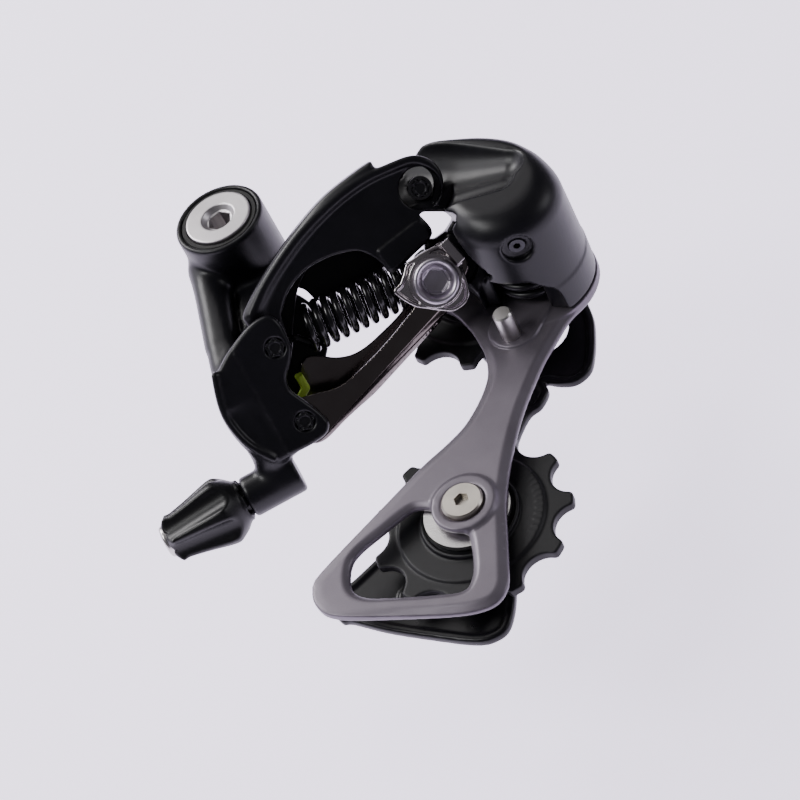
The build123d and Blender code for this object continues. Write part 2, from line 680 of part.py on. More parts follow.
def pulley(at):
    """Toothed chain pulley with a raised hub."""
    face = Circle(pulley_tip_radius)
    face -= [place * Circle(roller_radius) for place in PolarLocations(pitch_radius, pulley_teeth)]
    wheel = plate(face, -tooth_thickness / 2, tooth_thickness / 2)
    wheel += tube(14.2, 0, -1.6, 1.6)
    wheel += tube(cap_radius + 1.4, 0, -hub_half_width, hub_half_width)
    wheel -= tube(pulley_bush_radius + running_gap, 0, -10, 10)
    return Pos(at[0], at[1], pulley_plane) * wheel


pieces = {
    "hanger_bolt": hanger_bolt(),
    "b_snap_ring": snap_ring(),
    "b_stop_plate": b_stop_plate(),
    "bracket_knuckle": bracket(),
    "b_bush": b_bush(),
    "b_spring": b_spring(),
    "b_seal_ring": b_seal_ring(),
    "b_tension_screw": b_tension_screw(),
    "outer_link_bracket_pin": link_pin(pin_a, bracket_pin_half),
    "inner_link_bracket_pin": link_pin(pin_b, bracket_pin_half),
    "limit_screws": limit_screws(),
    "adjuster_barrel": adjuster_barrel(),
    "adjuster_knob": adjuster_knob(),
    "outer_link": outer_link(),
    "outer_link_bushes": link_bushes((pin_a, pin_d), link_inside, link_half_width),
    "inner_link": inner_link(),
    "inner_link_bushes": link_bushes((pin_b, pin_c), link_half_width - steel_sheet,
                                     link_half_width),
    "cable_clamp_plate": cable_clamp_plate(),
    "cable_clamp_bolt": cable_clamp_bolt(),
    "return_spring": return_spring(),
    "return_spring_eye": return_spring_eye(),
    "cage_knuckle": cage_knuckle(),
    "outer_link_knuckle_pin": link_pin(pin_d, knuckle_pin_half),
    "inner_link_knuckle_pin": link_pin(pin_c, knuckle_pin_half),
    "axle_set_screw": axle_set_screw(),
    "knuckle_bush": knuckle_bush(),
    "cage_spring": cage_spring(),
    "cage_outer_plate": cage_outer_plate(),
    "cage_inner_plate": cage_inner_plate(),
    "cage_axle": cage_axle(),
    "stop_pin": stop_pin(),
    "guide_pulley_bolt": pulley_bolt(guide_centre, False),
    "tension_pulley_bolt": pulley_bolt(tension_centre, True),
    "guide_pulley_bush": pulley_bush(guide_centre),
    "tension_pulley_bush": pulley_bush(tension_centre),
    "guide_dust_caps": dust_caps(guide_centre),
    "tension_dust_caps": dust_caps(tension_centre),
    "guide_pulley": pulley(guide_centre),
    "tension_pulley": pulley(tension_centre),
}

os.makedirs("parts", exist_ok=True)
for name, piece in pieces.items():
    solid = Compound(children=piece) if isinstance(piece, list) else piece
    export_step(solid, f"parts/{name}.step")
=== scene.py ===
import json
from math import atan2, cos, pi, radians, sin

import bpy
import numpy as np
from mathutils import Matrix, Vector


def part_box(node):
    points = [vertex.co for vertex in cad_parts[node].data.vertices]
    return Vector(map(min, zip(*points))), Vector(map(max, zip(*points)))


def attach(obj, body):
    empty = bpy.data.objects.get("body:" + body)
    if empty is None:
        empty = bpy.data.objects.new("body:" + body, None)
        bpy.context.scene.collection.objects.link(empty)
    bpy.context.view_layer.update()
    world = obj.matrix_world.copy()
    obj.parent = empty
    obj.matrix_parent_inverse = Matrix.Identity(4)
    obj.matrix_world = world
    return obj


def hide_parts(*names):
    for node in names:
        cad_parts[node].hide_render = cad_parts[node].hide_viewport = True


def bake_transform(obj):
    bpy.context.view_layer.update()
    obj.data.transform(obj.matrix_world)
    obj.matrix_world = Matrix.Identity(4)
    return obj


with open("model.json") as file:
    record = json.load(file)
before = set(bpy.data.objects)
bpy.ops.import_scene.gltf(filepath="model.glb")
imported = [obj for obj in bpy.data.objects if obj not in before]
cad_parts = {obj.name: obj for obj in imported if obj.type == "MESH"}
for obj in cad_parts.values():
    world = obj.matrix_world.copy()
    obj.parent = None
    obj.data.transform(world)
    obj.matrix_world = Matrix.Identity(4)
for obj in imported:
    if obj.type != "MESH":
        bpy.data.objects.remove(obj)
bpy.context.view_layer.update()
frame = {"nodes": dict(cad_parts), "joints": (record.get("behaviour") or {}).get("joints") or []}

# The fields below work in millimetres, in the part's own frame. Meshes are in metres.
MM = 0.001
joints = {joint["name"]: joint for joint in frame["joints"]}


def place_of(joint):
    return Vector(joints[joint]["pos_m"]) / MM


# ---- The link plane: v and w lie in it, q runs along the link pins, out towards the front -----
Q_AXIS = -Vector(joints["link_swing"]["axis"]).normalized()
V_AXIS = Vector((-Q_AXIS.y, Q_AXIS.x, 0)).normalized()
W_AXIS = Q_AXIS.cross(V_AXIS)
PIN_A = place_of("link_swing")
HANGER = place_of("b_pivot")
CAGE_PIVOT = place_of("cage_pivot")
GUIDE = place_of("guide_pulley_spin")
TENSION = place_of("tension_pulley_spin")


def in_link_plane(point):
    offset = Vector(point) - PIN_A
    return offset.dot(V_AXIS), offset.dot(W_AXIS)


def from_link_plane(v, w, q=0.0):
    return PIN_A + V_AXIS * v + W_AXIS * w + Q_AXIS * q


# The four link pins: A and D are the outer link's, B and C the inner link's.
A = (0.0, 0.0)
B = in_link_plane(place_of("inner_link_swing"))
D = in_link_plane(place_of("knuckle_swing"))
C = (B[0] + D[0], B[1] + D[1])
LINK_ANGLE = atan2(D[1], D[0])
CLAMP = (38.1, -3.9)

# Sizes that more than one piece uses. PAST is well outside every piece, for cuts right through.
PAST = 30.0
EAR_INSIDE = 7.75
LINK_BORE = 2.66
KNUCKLE_BORE = 2.02
PULLEY_BOLT_BORE = 2.5
SPRING_ROOM = 6.2


# ==== Solids as distance fields ==================================================================

class Room:
    """A grid of points round some nodes, with its coordinates in the part and link frames."""

    def __init__(self, nodes, step, margin=1.5):
        corners = [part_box(node) for node in nodes]
        low = np.min([np.array(c[0]) for c in corners], axis=0) / MM - margin
        high = np.max([np.array(c[1]) for c in corners], axis=0) / MM + margin
        self.low, self.step = low, step * 1.0
        axes = [np.arange(low[i], high[i], self.step, dtype=np.float32) for i in range(3)]
        self.x, self.y, self.z = np.meshgrid(*axes, indexing="ij", sparse=True)
        offset = (self.x - PIN_A.x, self.y - PIN_A.y, self.z - PIN_A.z)
        self.v, self.w, self.q = (sum(o * a for o, a in zip(offset, axis))
                                  for axis in (V_AXIS, W_AXIS, Q_AXIS))

    def from_pin(self, place):
        """Distance from a line through a place in the link plane, along the link pins."""
        return np.sqrt((self.v - place[0]) ** 2 + (self.w - place[1]) ** 2)

    def from_axis(self, place):
        """Distance from the upright line through a place."""
        return np.sqrt((self.x - place[0]) ** 2 + (self.y - place[1]) ** 2)

    def along_link(self):
        """Distance along the links from pin B, and up from it."""
        v, w = self.v - B[0], self.w - B[1]
        return (v * cos(LINK_ANGLE) + w * sin(LINK_ANGLE),
                w * cos(LINK_ANGLE) - v * sin(LINK_ANGLE))


def rounded_loop(points, radius):
    """A closed outline whose corners are arcs. radius is one size, or one for each corner."""
    count = len(points)
    radii = radius if isinstance(radius, (list, tuple)) else [radius] * count
    loop = []
    for i, corner in enumerate(points):
        corner = Vector(corner)
        before = Vector(points[i - 1]) - corner
        after = Vector(points[(i + 1) % count]) - corner
        half = before.angle(after) / 2
        reach = min(radii[i] / np.tan(half), before.length * 0.48, after.length * 0.48)
        size = reach * np.tan(half)
        middle = corner + (before.normalized() + after.normalized()).normalized() * size / sin(half)
        start = corner + before.normalized() * reach - middle
        sweep = start.angle_signed(corner + after.normalized() * reach - middle)
        for step in range(7):
            turned = Matrix.Rotation(-sweep * step / 6, 2) @ start
            loop.append(tuple(middle + turned))
    return loop


def smooth_loop(points, parts=5, closed=True):
    """A Catmull-Rom curve through the points."""
    count = len(points)
    loop = []
    for i in range(count if closed else count - 1):
        if closed:
            p = [Vector(points[(i + k) % count]) for k in (-1, 0, 1, 2)]
        else:
            p = [Vector(points[min(max(i + k, 0), count - 1)]) for k in (-1, 0, 1, 2)]
        for step in range(parts):
            t = step / parts
            loop.append(tuple(0.5 * (2 * p[1] + (p[2] - p[0]) * t
                                     + (2 * p[0] - 5 * p[1] + 4 * p[2] - p[3]) * t ** 2
                                     + (3 * p[1] - p[0] - 3 * p[2] + p[3]) * t ** 3)))
    if not closed:
        loop.append(tuple(points[-1]))
    return loop


def path_distance(points, a, b, closed=False):
    """Distance from a path in the plane; with closed, it is negative inside."""
    shape = np.broadcast(a, b).shape
    best = np.full(shape, 1e6, np.float32)
    inside = np.zeros(shape, bool)
    ends = list(zip(points, points[1:] + points[:1] if closed else points[1:]))
    for (x0, y0), (x1, y1) in ends:
        ex, ey = x1 - x0, y1 - y0
        size = ex * ex + ey * ey
        if size < 1e-9:
            continue
        px, py = a - x0, b - y0
        t = np.clip((px * ex + py * ey) / size, 0, 1)
        best = np.minimum(best, (px - t * ex) ** 2 + (py - t * ey) ** 2)
        if closed and y0 != y1:
            inside ^= ((b >= y0) != (b >= y1)) & (px < py * ex / ey)
    return np.sqrt(best) * np.where(inside, -1, 1).astype(np.float32)


def flat_field(points, a, b, closed=True):
    """The same for whole grids: worked out on a fine sheet and read off between its points."""
    if a.size * b.size < 4e6 and (a.shape[0] == 1 or b.shape[0] == 1 or a.ndim < 3):
        return path_distance(points, a, b, closed)
    pitch = 0.2
    rows = np.arange(a.min() - pitch, a.max() + 2 * pitch, pitch, dtype=np.float32)
    columns = np.arange(b.min() - pitch, b.max() + 2 * pitch, pitch, dtype=np.float32)
    sheet = path_distance(points, rows[:, None], columns[None, :], closed)
    i, j = (a - rows[0]) / pitch, (b - columns[0]) / pitch
    i, j = np.broadcast_arrays(i, j)
    i0, j0 = i.astype(np.int32), j.astype(np.int32)
    fi, fj = i - i0, j - j0
    return ((sheet[i0, j0] * (1 - fi) + sheet[i0 + 1, j0] * fi) * (1 - fj)
            + (sheet[i0, j0 + 1] * (1 - fi) + sheet[i0 + 1, j0 + 1] * fi) * fj)


def slab(flat, height, low, high, edge=0.0):
    """A plate of an outline, from low to high, with rounded edges."""
    side = flat + edge
    top = np.abs(height - (low + high) / 2) - (high - low) / 2 + edge
    outside = np.sqrt(np.maximum(side, 0) ** 2 + np.maximum(top, 0) ** 2)
    return outside + np.minimum(np.maximum(side, top), 0) - edge


def rod(room, start, end, radius, end_radius=None):
    """A rod with round ends, which can taper."""
    start, end = Vector(start), Vector(end)
    run = end - start
    offset = (room.x - start.x, room.y - start.y, room.z - start.z)
    t = np.clip(sum(o * r for o, r in zip(offset, run)) / run.length_squared, 0, 1)
    distance = np.sqrt(sum((o - t * r) ** 2 for o, r in zip(offset, run)))
    return distance - (radius + t * ((end_radius or radius) - radius))


def barrel(room, start, direction, radius, length, edge=0.0):
    """A cylinder from start along a direction."""
    direction = Vector(direction).normalized()
    offset = (room.x - start[0], room.y - start[1], room.z - start[2])
    along = sum(o * d for o, d in zip(offset, direction))
    out = np.sqrt(np.maximum(sum(o * o for o in offset) - along * along, 0))
    return slab(out - radius, along, 0, length, edge)


def join(a, b, blend=0.0):
    """Two solids as one, with a fillet of about that size where they meet."""
    if not blend:
        return np.minimum(a, b)
    h = np.clip(0.5 + 0.5 * (b - a) / blend, 0, 1)
    return b * (1 - h) + a * h - blend * h * (1 - h)


def cut(a, b, blend=0.0):
    """The first solid without the second, with a softened edge."""
    return -join(-a, b, blend)


def overlap(a, b, blend=0.0):
    return -join(-a, -b, blend)


def skin(name, room, field):
    """The closed quad mesh of a field's zero surface, one vertex in each cell that it crosses."""
    field = np.ascontiguousarray(np.broadcast_to(field, np.broadcast(room.x, room.y, room.z).shape))
    inside = field < 0
    n = [s - 1 for s in field.shape]
    corners = [(i, j, k) for i in (0, 1) for j in (0, 1) for k in (0, 1)]
    count = sum(inside[i:n[0] + i, j:n[1] + j, k:n[2] + k].astype(np.int8) for i, j, k in corners)
    mixed = (count > 0) & (count < 8)
    cells = np.argwhere(mixed)
    index = np.full(mixed.shape, -1, np.int32)
    index[mixed] = np.arange(len(cells))
    total, hits = np.zeros((len(cells), 3)), np.zeros((len(cells), 1))
    unit = np.eye(3, dtype=int)
    for axis in range(3):
        others = [k for k in range(3) if k != axis]
        for first in (0, 1):
            for second in (0, 1):
                offset = unit[others[0]] * first + unit[others[1]] * second
                start = cells + offset
                end = start + unit[axis]
                low_value, high_value = field[tuple(start.T)], field[tuple(end.T)]
                crossed = (low_value < 0) != (high_value < 0)
                t = low_value[crossed] / (low_value[crossed] - high_value[crossed])
                total[crossed] += offset + t[:, None] * unit[axis]
                hits[crossed] += 1
    points = (room.low + room.step * (cells + total / hits)) * MM
    quads = []
    for axis in range(3):
        b, c = (axis + 1) % 3, (axis + 2) % 3
        low_side = np.take(inside, range(field.shape[axis] - 1), axis)
        high_side = np.take(inside, range(1, field.shape[axis]), axis)
        for leaving in (True, False):
            edges = np.argwhere((low_side == leaving) & (high_side != leaving))
            edges = edges[(edges[:, b] > 0) & (edges[:, c] > 0)]
            edges = edges[(edges[:, b] < n[b]) & (edges[:, c] < n[c])]
            ring = [edges, edges - unit[b], edges - unit[b] - unit[c], edges - unit[c]]
            ring = ring if leaving else ring[::-1]
            quads.append(np.stack([index[tuple(corner.T)] for corner in ring], axis=1))
    mesh = bpy.data.meshes.new(name)
    mesh.from_pydata(points.tolist(), [], np.concatenate(quads).tolist())
    return finish_mesh(name, mesh)


def finish_mesh(name, mesh, smooth=True):
    mesh.polygons.foreach_set("use_smooth", [smooth] * len(mesh.polygons))
    mesh.update()
    made = bpy.data.objects.new(name, mesh)
    bpy.context.scene.collection.objects.link(made)
    return made


def soften(made, passes, factor=0.5):
    """Evens out the mesh, as shot blasting does a forging."""
    relax = made.modifiers.new("soften", "SMOOTH")
    relax.factor = factor
    relax.iterations = passes
    return apply_modifiers(made)


def apply_modifiers(made):
    graph = bpy.context.evaluated_depsgraph_get()
    mesh = bpy.data.meshes.new_from_object(made.evaluated_get(graph))
    made.modifiers.clear()
    made.data = mesh
    return made


# ==== Finishes ===================================================================================

class Value:
    """A number from a shader socket, on which ordinary arithmetic works."""

    def __init__(self, finish, socket):
        self.finish, self.socket = finish, socket

    def maths(self, operation, a, b=0.0, clamp=False):
        made = self.finish.node("ShaderNodeMath", {"operation": operation, "use_clamp": clamp},
                                {0: a, 1: b})
        return Value(self.finish, made.outputs[0])

    def __add__(self, other):
        return self.maths("ADD", self, other)

    def __sub__(self, other):
        return self.maths("SUBTRACT", self, other)

    def __rsub__(self, other):
        return self.maths("SUBTRACT", other, self)

    def __mul__(self, other):
        return self.maths("MULTIPLY", self, other)

    __radd__, __rmul__ = __add__, __mul__

    def limited(self):
        return self.maths("ADD", self, 0.0, clamp=True)


class Finish:
    """A material, and the nodes that it is made of."""

    def __init__(self, name):
        self.material = bpy.data.materials.new(name)
        self.material.use_nodes = True
        self.tree = self.material.node_tree
        self.shader = self.tree.nodes["Principled BSDF"]
        self.place = self.node("ShaderNodeTexCoord").outputs["Object"]

    def node(self, kind, settings=None, sockets=None):
        made = self.tree.nodes.new(kind)
        for setting, value in (settings or {}).items():
            setattr(made, setting, value)
        for socket, value in (sockets or {}).items():
            self.feed(made.inputs[socket], value)
        return made

    def feed(self, socket, value):
        if isinstance(value, Value):
            value = value.socket
        if isinstance(value, bpy.types.NodeSocket):
            self.tree.links.new(value, socket)
        else:
            socket.default_value = value

    def set(self, **values):
        for name, value in values.items():
            self.feed(self.shader.inputs[name.replace("_", " ")], value)
        return self

    def grain(self, size_mm, detail=3.0, rough=0.55, stretch=None):
        """Noise from 0 to 1, with lumps of about that size. stretch lengthens it along an axis."""
        place = self.place
        if stretch:
            place = self.node("ShaderNodeMapping", {}, {"Vector": place,
                                                        "Scale": stretch}).outputs[0]
        made = self.node("ShaderNodeTexNoise", {}, {"Vector": place, "Scale": 1 / (size_mm * MM),
                                                    "Detail": detail, "Roughness": rough})
        return Value(self, made.outputs[0])

    def edges(self, low, high):
        """1 on sharp outer edges and 0 on flat faces."""
        point = self.node("ShaderNodeNewGeometry").outputs["Pointiness"]
        ranged = self.node("ShaderNodeMapRange", {"clamp": True},
                           {"Value": point, "From Min": low, "From Max": high})
        return Value(self, ranged.outputs[0])

    def colour(self, mask, low, high):
        mixed = self.node("ShaderNodeMix", {"data_type": "RGBA"},
                          {"Factor": mask, 6: (*low, 1.0), 7: (*high, 1.0)})
        return mixed.outputs[2]

    def radius_from(self, centre, direction):
        """Distance in millimetres from an axis."""
        offset = self.node("ShaderNodeVectorMath", {"operation": "SUBTRACT"},
                           {0: self.place, 1: tuple(Vector(centre) * MM)})
        turned = self.node("ShaderNodeVectorMath", {"operation": "CROSS_PRODUCT"},
                           {0: offset.outputs[0], 1: tuple(Vector(direction).normalized())})
        size = self.node("ShaderNodeVectorMath", {"operation": "LENGTH"}, {0: turned.outputs[0]})
        return Value(self, size.outputs["Value"]) * (1 / MM)

    def bump(self, height, depth_mm, strength=1.0):
        made = self.node("ShaderNodeBump", {}, {"Height": height, "Strength": strength,
                                                "Distance": depth_mm * MM})
        self.set(Normal=made.outputs[0])
        return self


def painted(name, dark, light, rough, edge_light, flake=0.0, metal=0.0, coat=0.0):
    """Paint or anodising over metal: fine grain, slow cloudiness and sharp edges paler in patches.
    """
    finish = Finish(name)
    cloud = finish.grain(9.0, 2.0)
    fine = finish.grain(0.16, 2.0)
    # Sharp convex edges, picked out by pointiness, are made paler in patches.
    pale_edge_patches = finish.edges(0.52, 0.62) * finish.grain(1.2)
    tone = (cloud * 0.6 + fine * flake + pale_edge_patches * edge_light).limited()
    finish.set(Base_Color=finish.colour(tone, dark, light), Metallic=metal,
               Roughness=(finish.grain(2.5) * 0.10 + cloud * 0.08 + (rough - 0.09)).limited(),
               Coat_Weight=coat, Coat_Roughness=0.25, Specular_IOR_Level=0.27)
    return finish.bump(fine * 0.5 + finish.grain(0.5) * 0.5, 0.012)


def bare_steel(name, dark, light, rough, smudge=0.10, brushed=None):
    """Bright metal with faint smudges and, if brushed, fine lines across an axis."""
    finish = Finish(name)
    marks = finish.grain(5.0, 4.0)
    fine = finish.grain(0.25, 2.0, stretch=brushed)
    finish.set(Base_Color=finish.colour((marks * 0.7 + fine * 0.3).limited(), dark, light),
               Metallic=1.0, Roughness=(marks * smudge + fine * 0.06 + (rough - 0.06)).limited())
    return finish.bump(fine, 0.004)


def turned_steel(name, dark, light, rough, centre, direction):
    """Metal faced on a lathe: fine rings round an axis."""
    finish = Finish(name)
    rings = finish.radius_from(centre, direction) * 26.0
    wave = rings.maths("SINE", rings)
    marks = finish.grain(4.0, 4.0)
    finish.set(Base_Color=finish.colour((marks * 0.7 + wave * 0.12 + 0.1).limited(), dark, light),
               Metallic=1.0, Roughness=(marks * 0.10 + (rough - 0.04)).limited())
    return finish.bump(wave, 0.003)


def moulded(name, dark, light, rough, grain_mm=0.3, depth=0.015):
    """Moulded plastic or rubber with a fine matt texture."""
    finish = Finish(name)
    fine = finish.grain(grain_mm, 3.0)
    scuffs = finish.grain(1.5, 5.0, stretch=(1.0, 4.0, 1.0))
    tone = (fine * 0.35 + scuffs * 0.35 + finish.edges(0.53, 0.66) * 0.4).limited()
    finish.set(Base_Color=finish.colour(tone, dark, light),
               Roughness=(scuffs * 0.14 + (rough - 0.07)).limited(), Specular_IOR_Level=0.28)
    return finish.bump(fine, depth)


Z = Vector((0, 0, 1))
FORGED_BLACK = painted("forged_black", (0.0030, 0.0030, 0.0042), (0.0085, 0.0082, 0.0108), 0.34,
                       0.5)
CAGE_GREY = painted("cage_grey", (0.100, 0.089, 0.106), (0.190, 0.170, 0.197), 0.40, 0.5, 0.5,
                    metal=0.5)
PLATE_BLACK = painted("plate_black", (0.0030, 0.0030, 0.0038), (0.008, 0.008, 0.0095), 0.30, 0.6)
PIN_BLACK = painted("pin_black", (0.008, 0.008, 0.009), (0.05, 0.05, 0.055), 0.30, 0.9, metal=0.6)
SPRING_BLACK = painted("spring_black", (0.002, 0.002, 0.0024), (0.006, 0.006, 0.007), 0.15, 0.3,
                       coat=0.5)
LINK_STEEL = bare_steel("link_steel", (0.115, 0.098, 0.090), (0.19, 0.17, 0.165), 0.14, 0.04)
CLAMP_STEEL = bare_steel("clamp_steel", (0.34, 0.31, 0.31), (0.58, 0.55, 0.56), 0.20, 0.05)
SATIN_STEEL = bare_steel("satin_steel", (0.42, 0.41, 0.40), (0.62, 0.60, 0.58), 0.28)
CLAMP_BOLT = bare_steel("clamp_bolt_steel", (0.38, 0.35, 0.39), (0.58, 0.54, 0.60), 0.36, 0.05)
BOLT_FACE = turned_steel("bolt_face", (0.42, 0.40, 0.41), (0.58, 0.56, 0.57), 0.40, (0, 0, 0), Z)
PULLEY_BOLT = turned_steel("pulley_bolt_face", (0.34, 0.315, 0.28), (0.50, 0.47, 0.42), 0.32,
                           TENSION, Z)
CAP_STEEL = turned_steel("cap_steel", (0.40, 0.39, 0.38), (0.60, 0.59, 0.58), 0.24, TENSION, Z)
OILED_STEEL = bare_steel("oiled_steel", (0.16, 0.16, 0.16), (0.30, 0.30, 0.30), 0.30)
MATT_PLASTIC = moulded("matt_plastic", (0.0030, 0.0030, 0.0036), (0.009, 0.009, 0.0105), 0.46)
GRIP_PLASTIC = moulded("grip_plastic", (0.0030, 0.0030, 0.0034), (0.010, 0.010, 0.011), 0.34, 0.25)
RUBBER = moulded("seal_rubber", (0.003, 0.003, 0.003), (0.009, 0.009, 0.009), 0.50, 0.2)
BEARING_BLACK = moulded("bearing_black", (0.004, 0.004, 0.0045), (0.012, 0.012, 0.013), 0.40, 0.3,
                        0.01)
BEARING_GREEN = moulded("bearing_green", (0.25, 0.38, 0.03), (0.42, 0.58, 0.07), 0.45, 0.4, 0.01)
BRONZE = bare_steel("sintered_bronze", (0.30, 0.20, 0.10), (0.45, 0.32, 0.18), 0.5)

NODE_FINISHES = {
    "hanger_bolt": BOLT_FACE, "b_snap_ring": SATIN_STEEL, "b_stop_plate": SATIN_STEEL,
    "b_bush": BEARING_GREEN, "b_spring": OILED_STEEL, "b_seal_ring": RUBBER,
    "b_tension_screw": PIN_BLACK, "limit_screws": PIN_BLACK, "adjuster_barrel": SATIN_STEEL,
    "outer_link_bushes": BEARING_BLACK, "inner_link_bushes": BEARING_GREEN,
    # The cage spring gets the black paint so that it looks dark through the stop's cutaway: painted
    # shade in that hollow.
    "knuckle_bush": BEARING_GREEN, "cage_spring": FORGED_BLACK, "cage_axle": SATIN_STEEL,
    "stop_pin": SATIN_STEEL, "axle_set_screw": PIN_BLACK, "outer_link_bracket_pin": PIN_BLACK,
    "inner_link_bracket_pin": PIN_BLACK, "outer_link_knuckle_pin": PIN_BLACK,
    "inner_link_knuckle_pin": PIN_BLACK, "guide_pulley_bolt": PULLEY_BOLT,
    "tension_pulley_bolt": PULLEY_BOLT, "guide_pulley_bush": BRONZE,
    "tension_pulley_bush": BRONZE, "guide_dust_caps": CAP_STEEL, "tension_dust_caps": CAP_STEEL,
}


def dress(piece, finish):
    piece.data.materials.clear()
    piece.data.materials.append(finish.material)
    return piece


def settle(piece, finish, body, slot, *nodes):
    """Gives a new piece its finish and its body, and hides the nodes it stands for. slot is not
    used.
    """
    dress(piece, finish)
    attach(piece, body)
    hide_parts(*nodes)
    return piece


for node in frame["nodes"]:
    dress(frame["nodes"][node], NODE_FINISHES.get(node, FORGED_BLACK))


# ==== Bracket ====================================================================================

def bracket_knuckle():
    """Forged body: boss, swept arm, front and rear ears, spine and adjuster socket."""
    room = Room(["bracket_knuckle"], 0.4)
    flat = room.from_axis(HANGER)
    boss = slab(flat - (10.75 + 0.012 * (19 - room.z)), room.z, 2.7, 19.1, 0.7)
    left_edge = [(-9.9, -4.0), (-9.3, -7.6), (-4.5, -15.2), (-0.3, -23.8), (4.3, -33.1),
                 (8.2, -39.2), (13.5, -42.0), (15.0, -36.0), (9.6, -27.0), (4.6, -17.0),
                 (1.5, -9.0), (0.0, -4.0)]
    arm = slab(flat_field(smooth_loop(left_edge), room.x, room.y), room.z, -8.6, 10.5, 3.0)
    body = join(boss, arm, 3.0)
    ridge = rod(room, (-5.0, -8.2, 9.5), (5.4, -28.0, 6.8), 3.4, 3.0)
    body = join(body, ridge, 2.5)
    web_loop = [(0.5, 4.0), (8.6, 3.4), (11.6, -3.0), (13.6, -12.0), (14.0, -22.0), (8.0, -22.0),
                (2.0, -8.0)]
    web = slab(flat_field(smooth_loop(web_loop), room.x, room.y), room.z, -3.0, 6.5, 1.2)
    body = join(body, web, 1.5)
    front_loop = [(0.4, 7.4), (2.7, 6.4), (3.6, 4.0), (3.5, 0.6), (3.0, -2.2), (1.2, -4.8),
                  (-0.8, -6.9), (-1.4, -9.7), (0.0, -12.9), (1.3, -15.7), (2.3, -18.4),
                  (2.4, -20.7), (0.0, -22.4), (-6.6, -22.6), (-12.7, -21.0), (-15.4, -16.0),
                  (-16.3, -9.0), (-15.3, -1.1), (-10.5, 3.4), (-4.0, 6.6)]
    front = slab(flat_field(smooth_loop(front_loop), room.v, room.w), room.q, 7.8, 10.9, 1.0)
    fall = 0.5 * np.clip(-8.5 - room.v, 0, 8) * np.clip((-7.0 - room.w) / 5, 0, 1)
    front = overlap(front, room.q - 10.6 + fall - 0.5 * (room.v > -8.5), 0.2)
    spine_loop = [(-8.0, 3.6), (-13.4, 0.6), (-17.0, -6.0), (-17.2, -14.0), (-14.6, -20.6),
                  (-9.0, -23.0), (-6.6, -21.0), (-9.6, -15.0), (-9.8, -8.0), (-6.2, -1.0)]
    spine = slab(flat_field(smooth_loop(spine_loop), room.v, room.w), room.q, -10.8, 10.2, 1.6)
    rear_loop = [(5.4, 2.6), (2.6, 6.0), (-5.0, 6.0), (-14.0, -2.0), (-16.0, -14.0), (-12.0, -19.6),
                 (-4.0, -21.6), (2.0, -19.4), (1.6, -12.0), (2.4, -4.0)]
    rear_ear = (-10.8, -7.8)
    rear = slab(flat_field(smooth_loop(rear_loop), room.v, room.w), room.q, *rear_ear, 1.0)
    web_round = np.maximum(room.from_pin(A) - 12.0, 1.0 - room.v)
    rear = join(rear, slab(web_round, room.q, *rear_ear, 0.5), 0.5)
    body = join(join(join(body, spine, 2.0), rear, 1.4), front, 1.4)
    groove_path = [(-14.6, 1.0), (-16.8, -7.6), (-15.6, -15.4), (-12.0, -21.4)]
    groove = flat_field(smooth_loop(groove_path, 6, False), room.v, room.w, False)
    fin = slab(groove - 0.7, room.q, 7.0, 11.4, 0.6)
    body = join(body, fin, 1.2)
    body = adjuster_socket(room, body)
    body = cut(body, slab(flat - 12.5, room.z, -40, 2.75), 0.3)
    body = cut(body, slab(flat - 9.42, room.z, 17.25, PAST), 0.35)
    body = cut(body, slab(flat - 7.2, room.z, 0, PAST))
    body = cut(body, slab(flat - 9.3, room.z, 0, 14.2))
    bay = [(20.0, 5.0), (8.0, 12.6), (-3.6, 8.6), (-7.0, 2.0), (-8.6, -6.0), (-8.8, -14.0),
           (-8.8, -22.8), (2.0, -25.8), (20.0, -25.0)]
    bay_flat = flat_field(rounded_loop(bay, 2.0), room.v, room.w)
    body = cut(body, slab(bay_flat, room.q, -EAR_INSIDE, EAR_INSIDE), 0.3)
    for pin in (A, B):
        body = cut(body, slab(room.from_pin(pin) - 2.3, room.q, 9.9, PAST), 0.3)
    piece = soften(skin("bracket_body", room, body), 2)
    return settle(piece, FORGED_BLACK, "bracket", "black_paint", "bracket_knuckle")


ADJUSTER = (-9.4, -27.0, 4.0)
SOCKET_LENGTH = 12.4
KNOB_GAP = 0.2


def adjuster_socket(room, body):
    """Adds the round housing of the adjuster's thread, its neck and the slit in its end."""
    start = from_link_plane(*ADJUSTER)
    out = -V_AXIS
    socket = barrel(room, start + V_AXIS * 0.6, out, 4.8, SOCKET_LENGTH + 0.6, 0.8)
    neck = rod(room, from_link_plane(-12.4, -19.6, 6.0), from_link_plane(-13.6, -25.0, 4.6), 4.0)
    body = join(join(body, neck, 2.0), socket, 1.2)
    slit = slab(flat_field([(-8.2, -24.4), (-7.2, -28.4)], room.v, room.w, False) - 0.55,
                room.q, 4.0, 12.0)
    body = cut(body, slit, 0.3)
    return cut(body, barrel(room, start - V_AXIS * 2.5, out, 2.55, SOCKET_LENGTH))


# ==== Links ======================================================================================

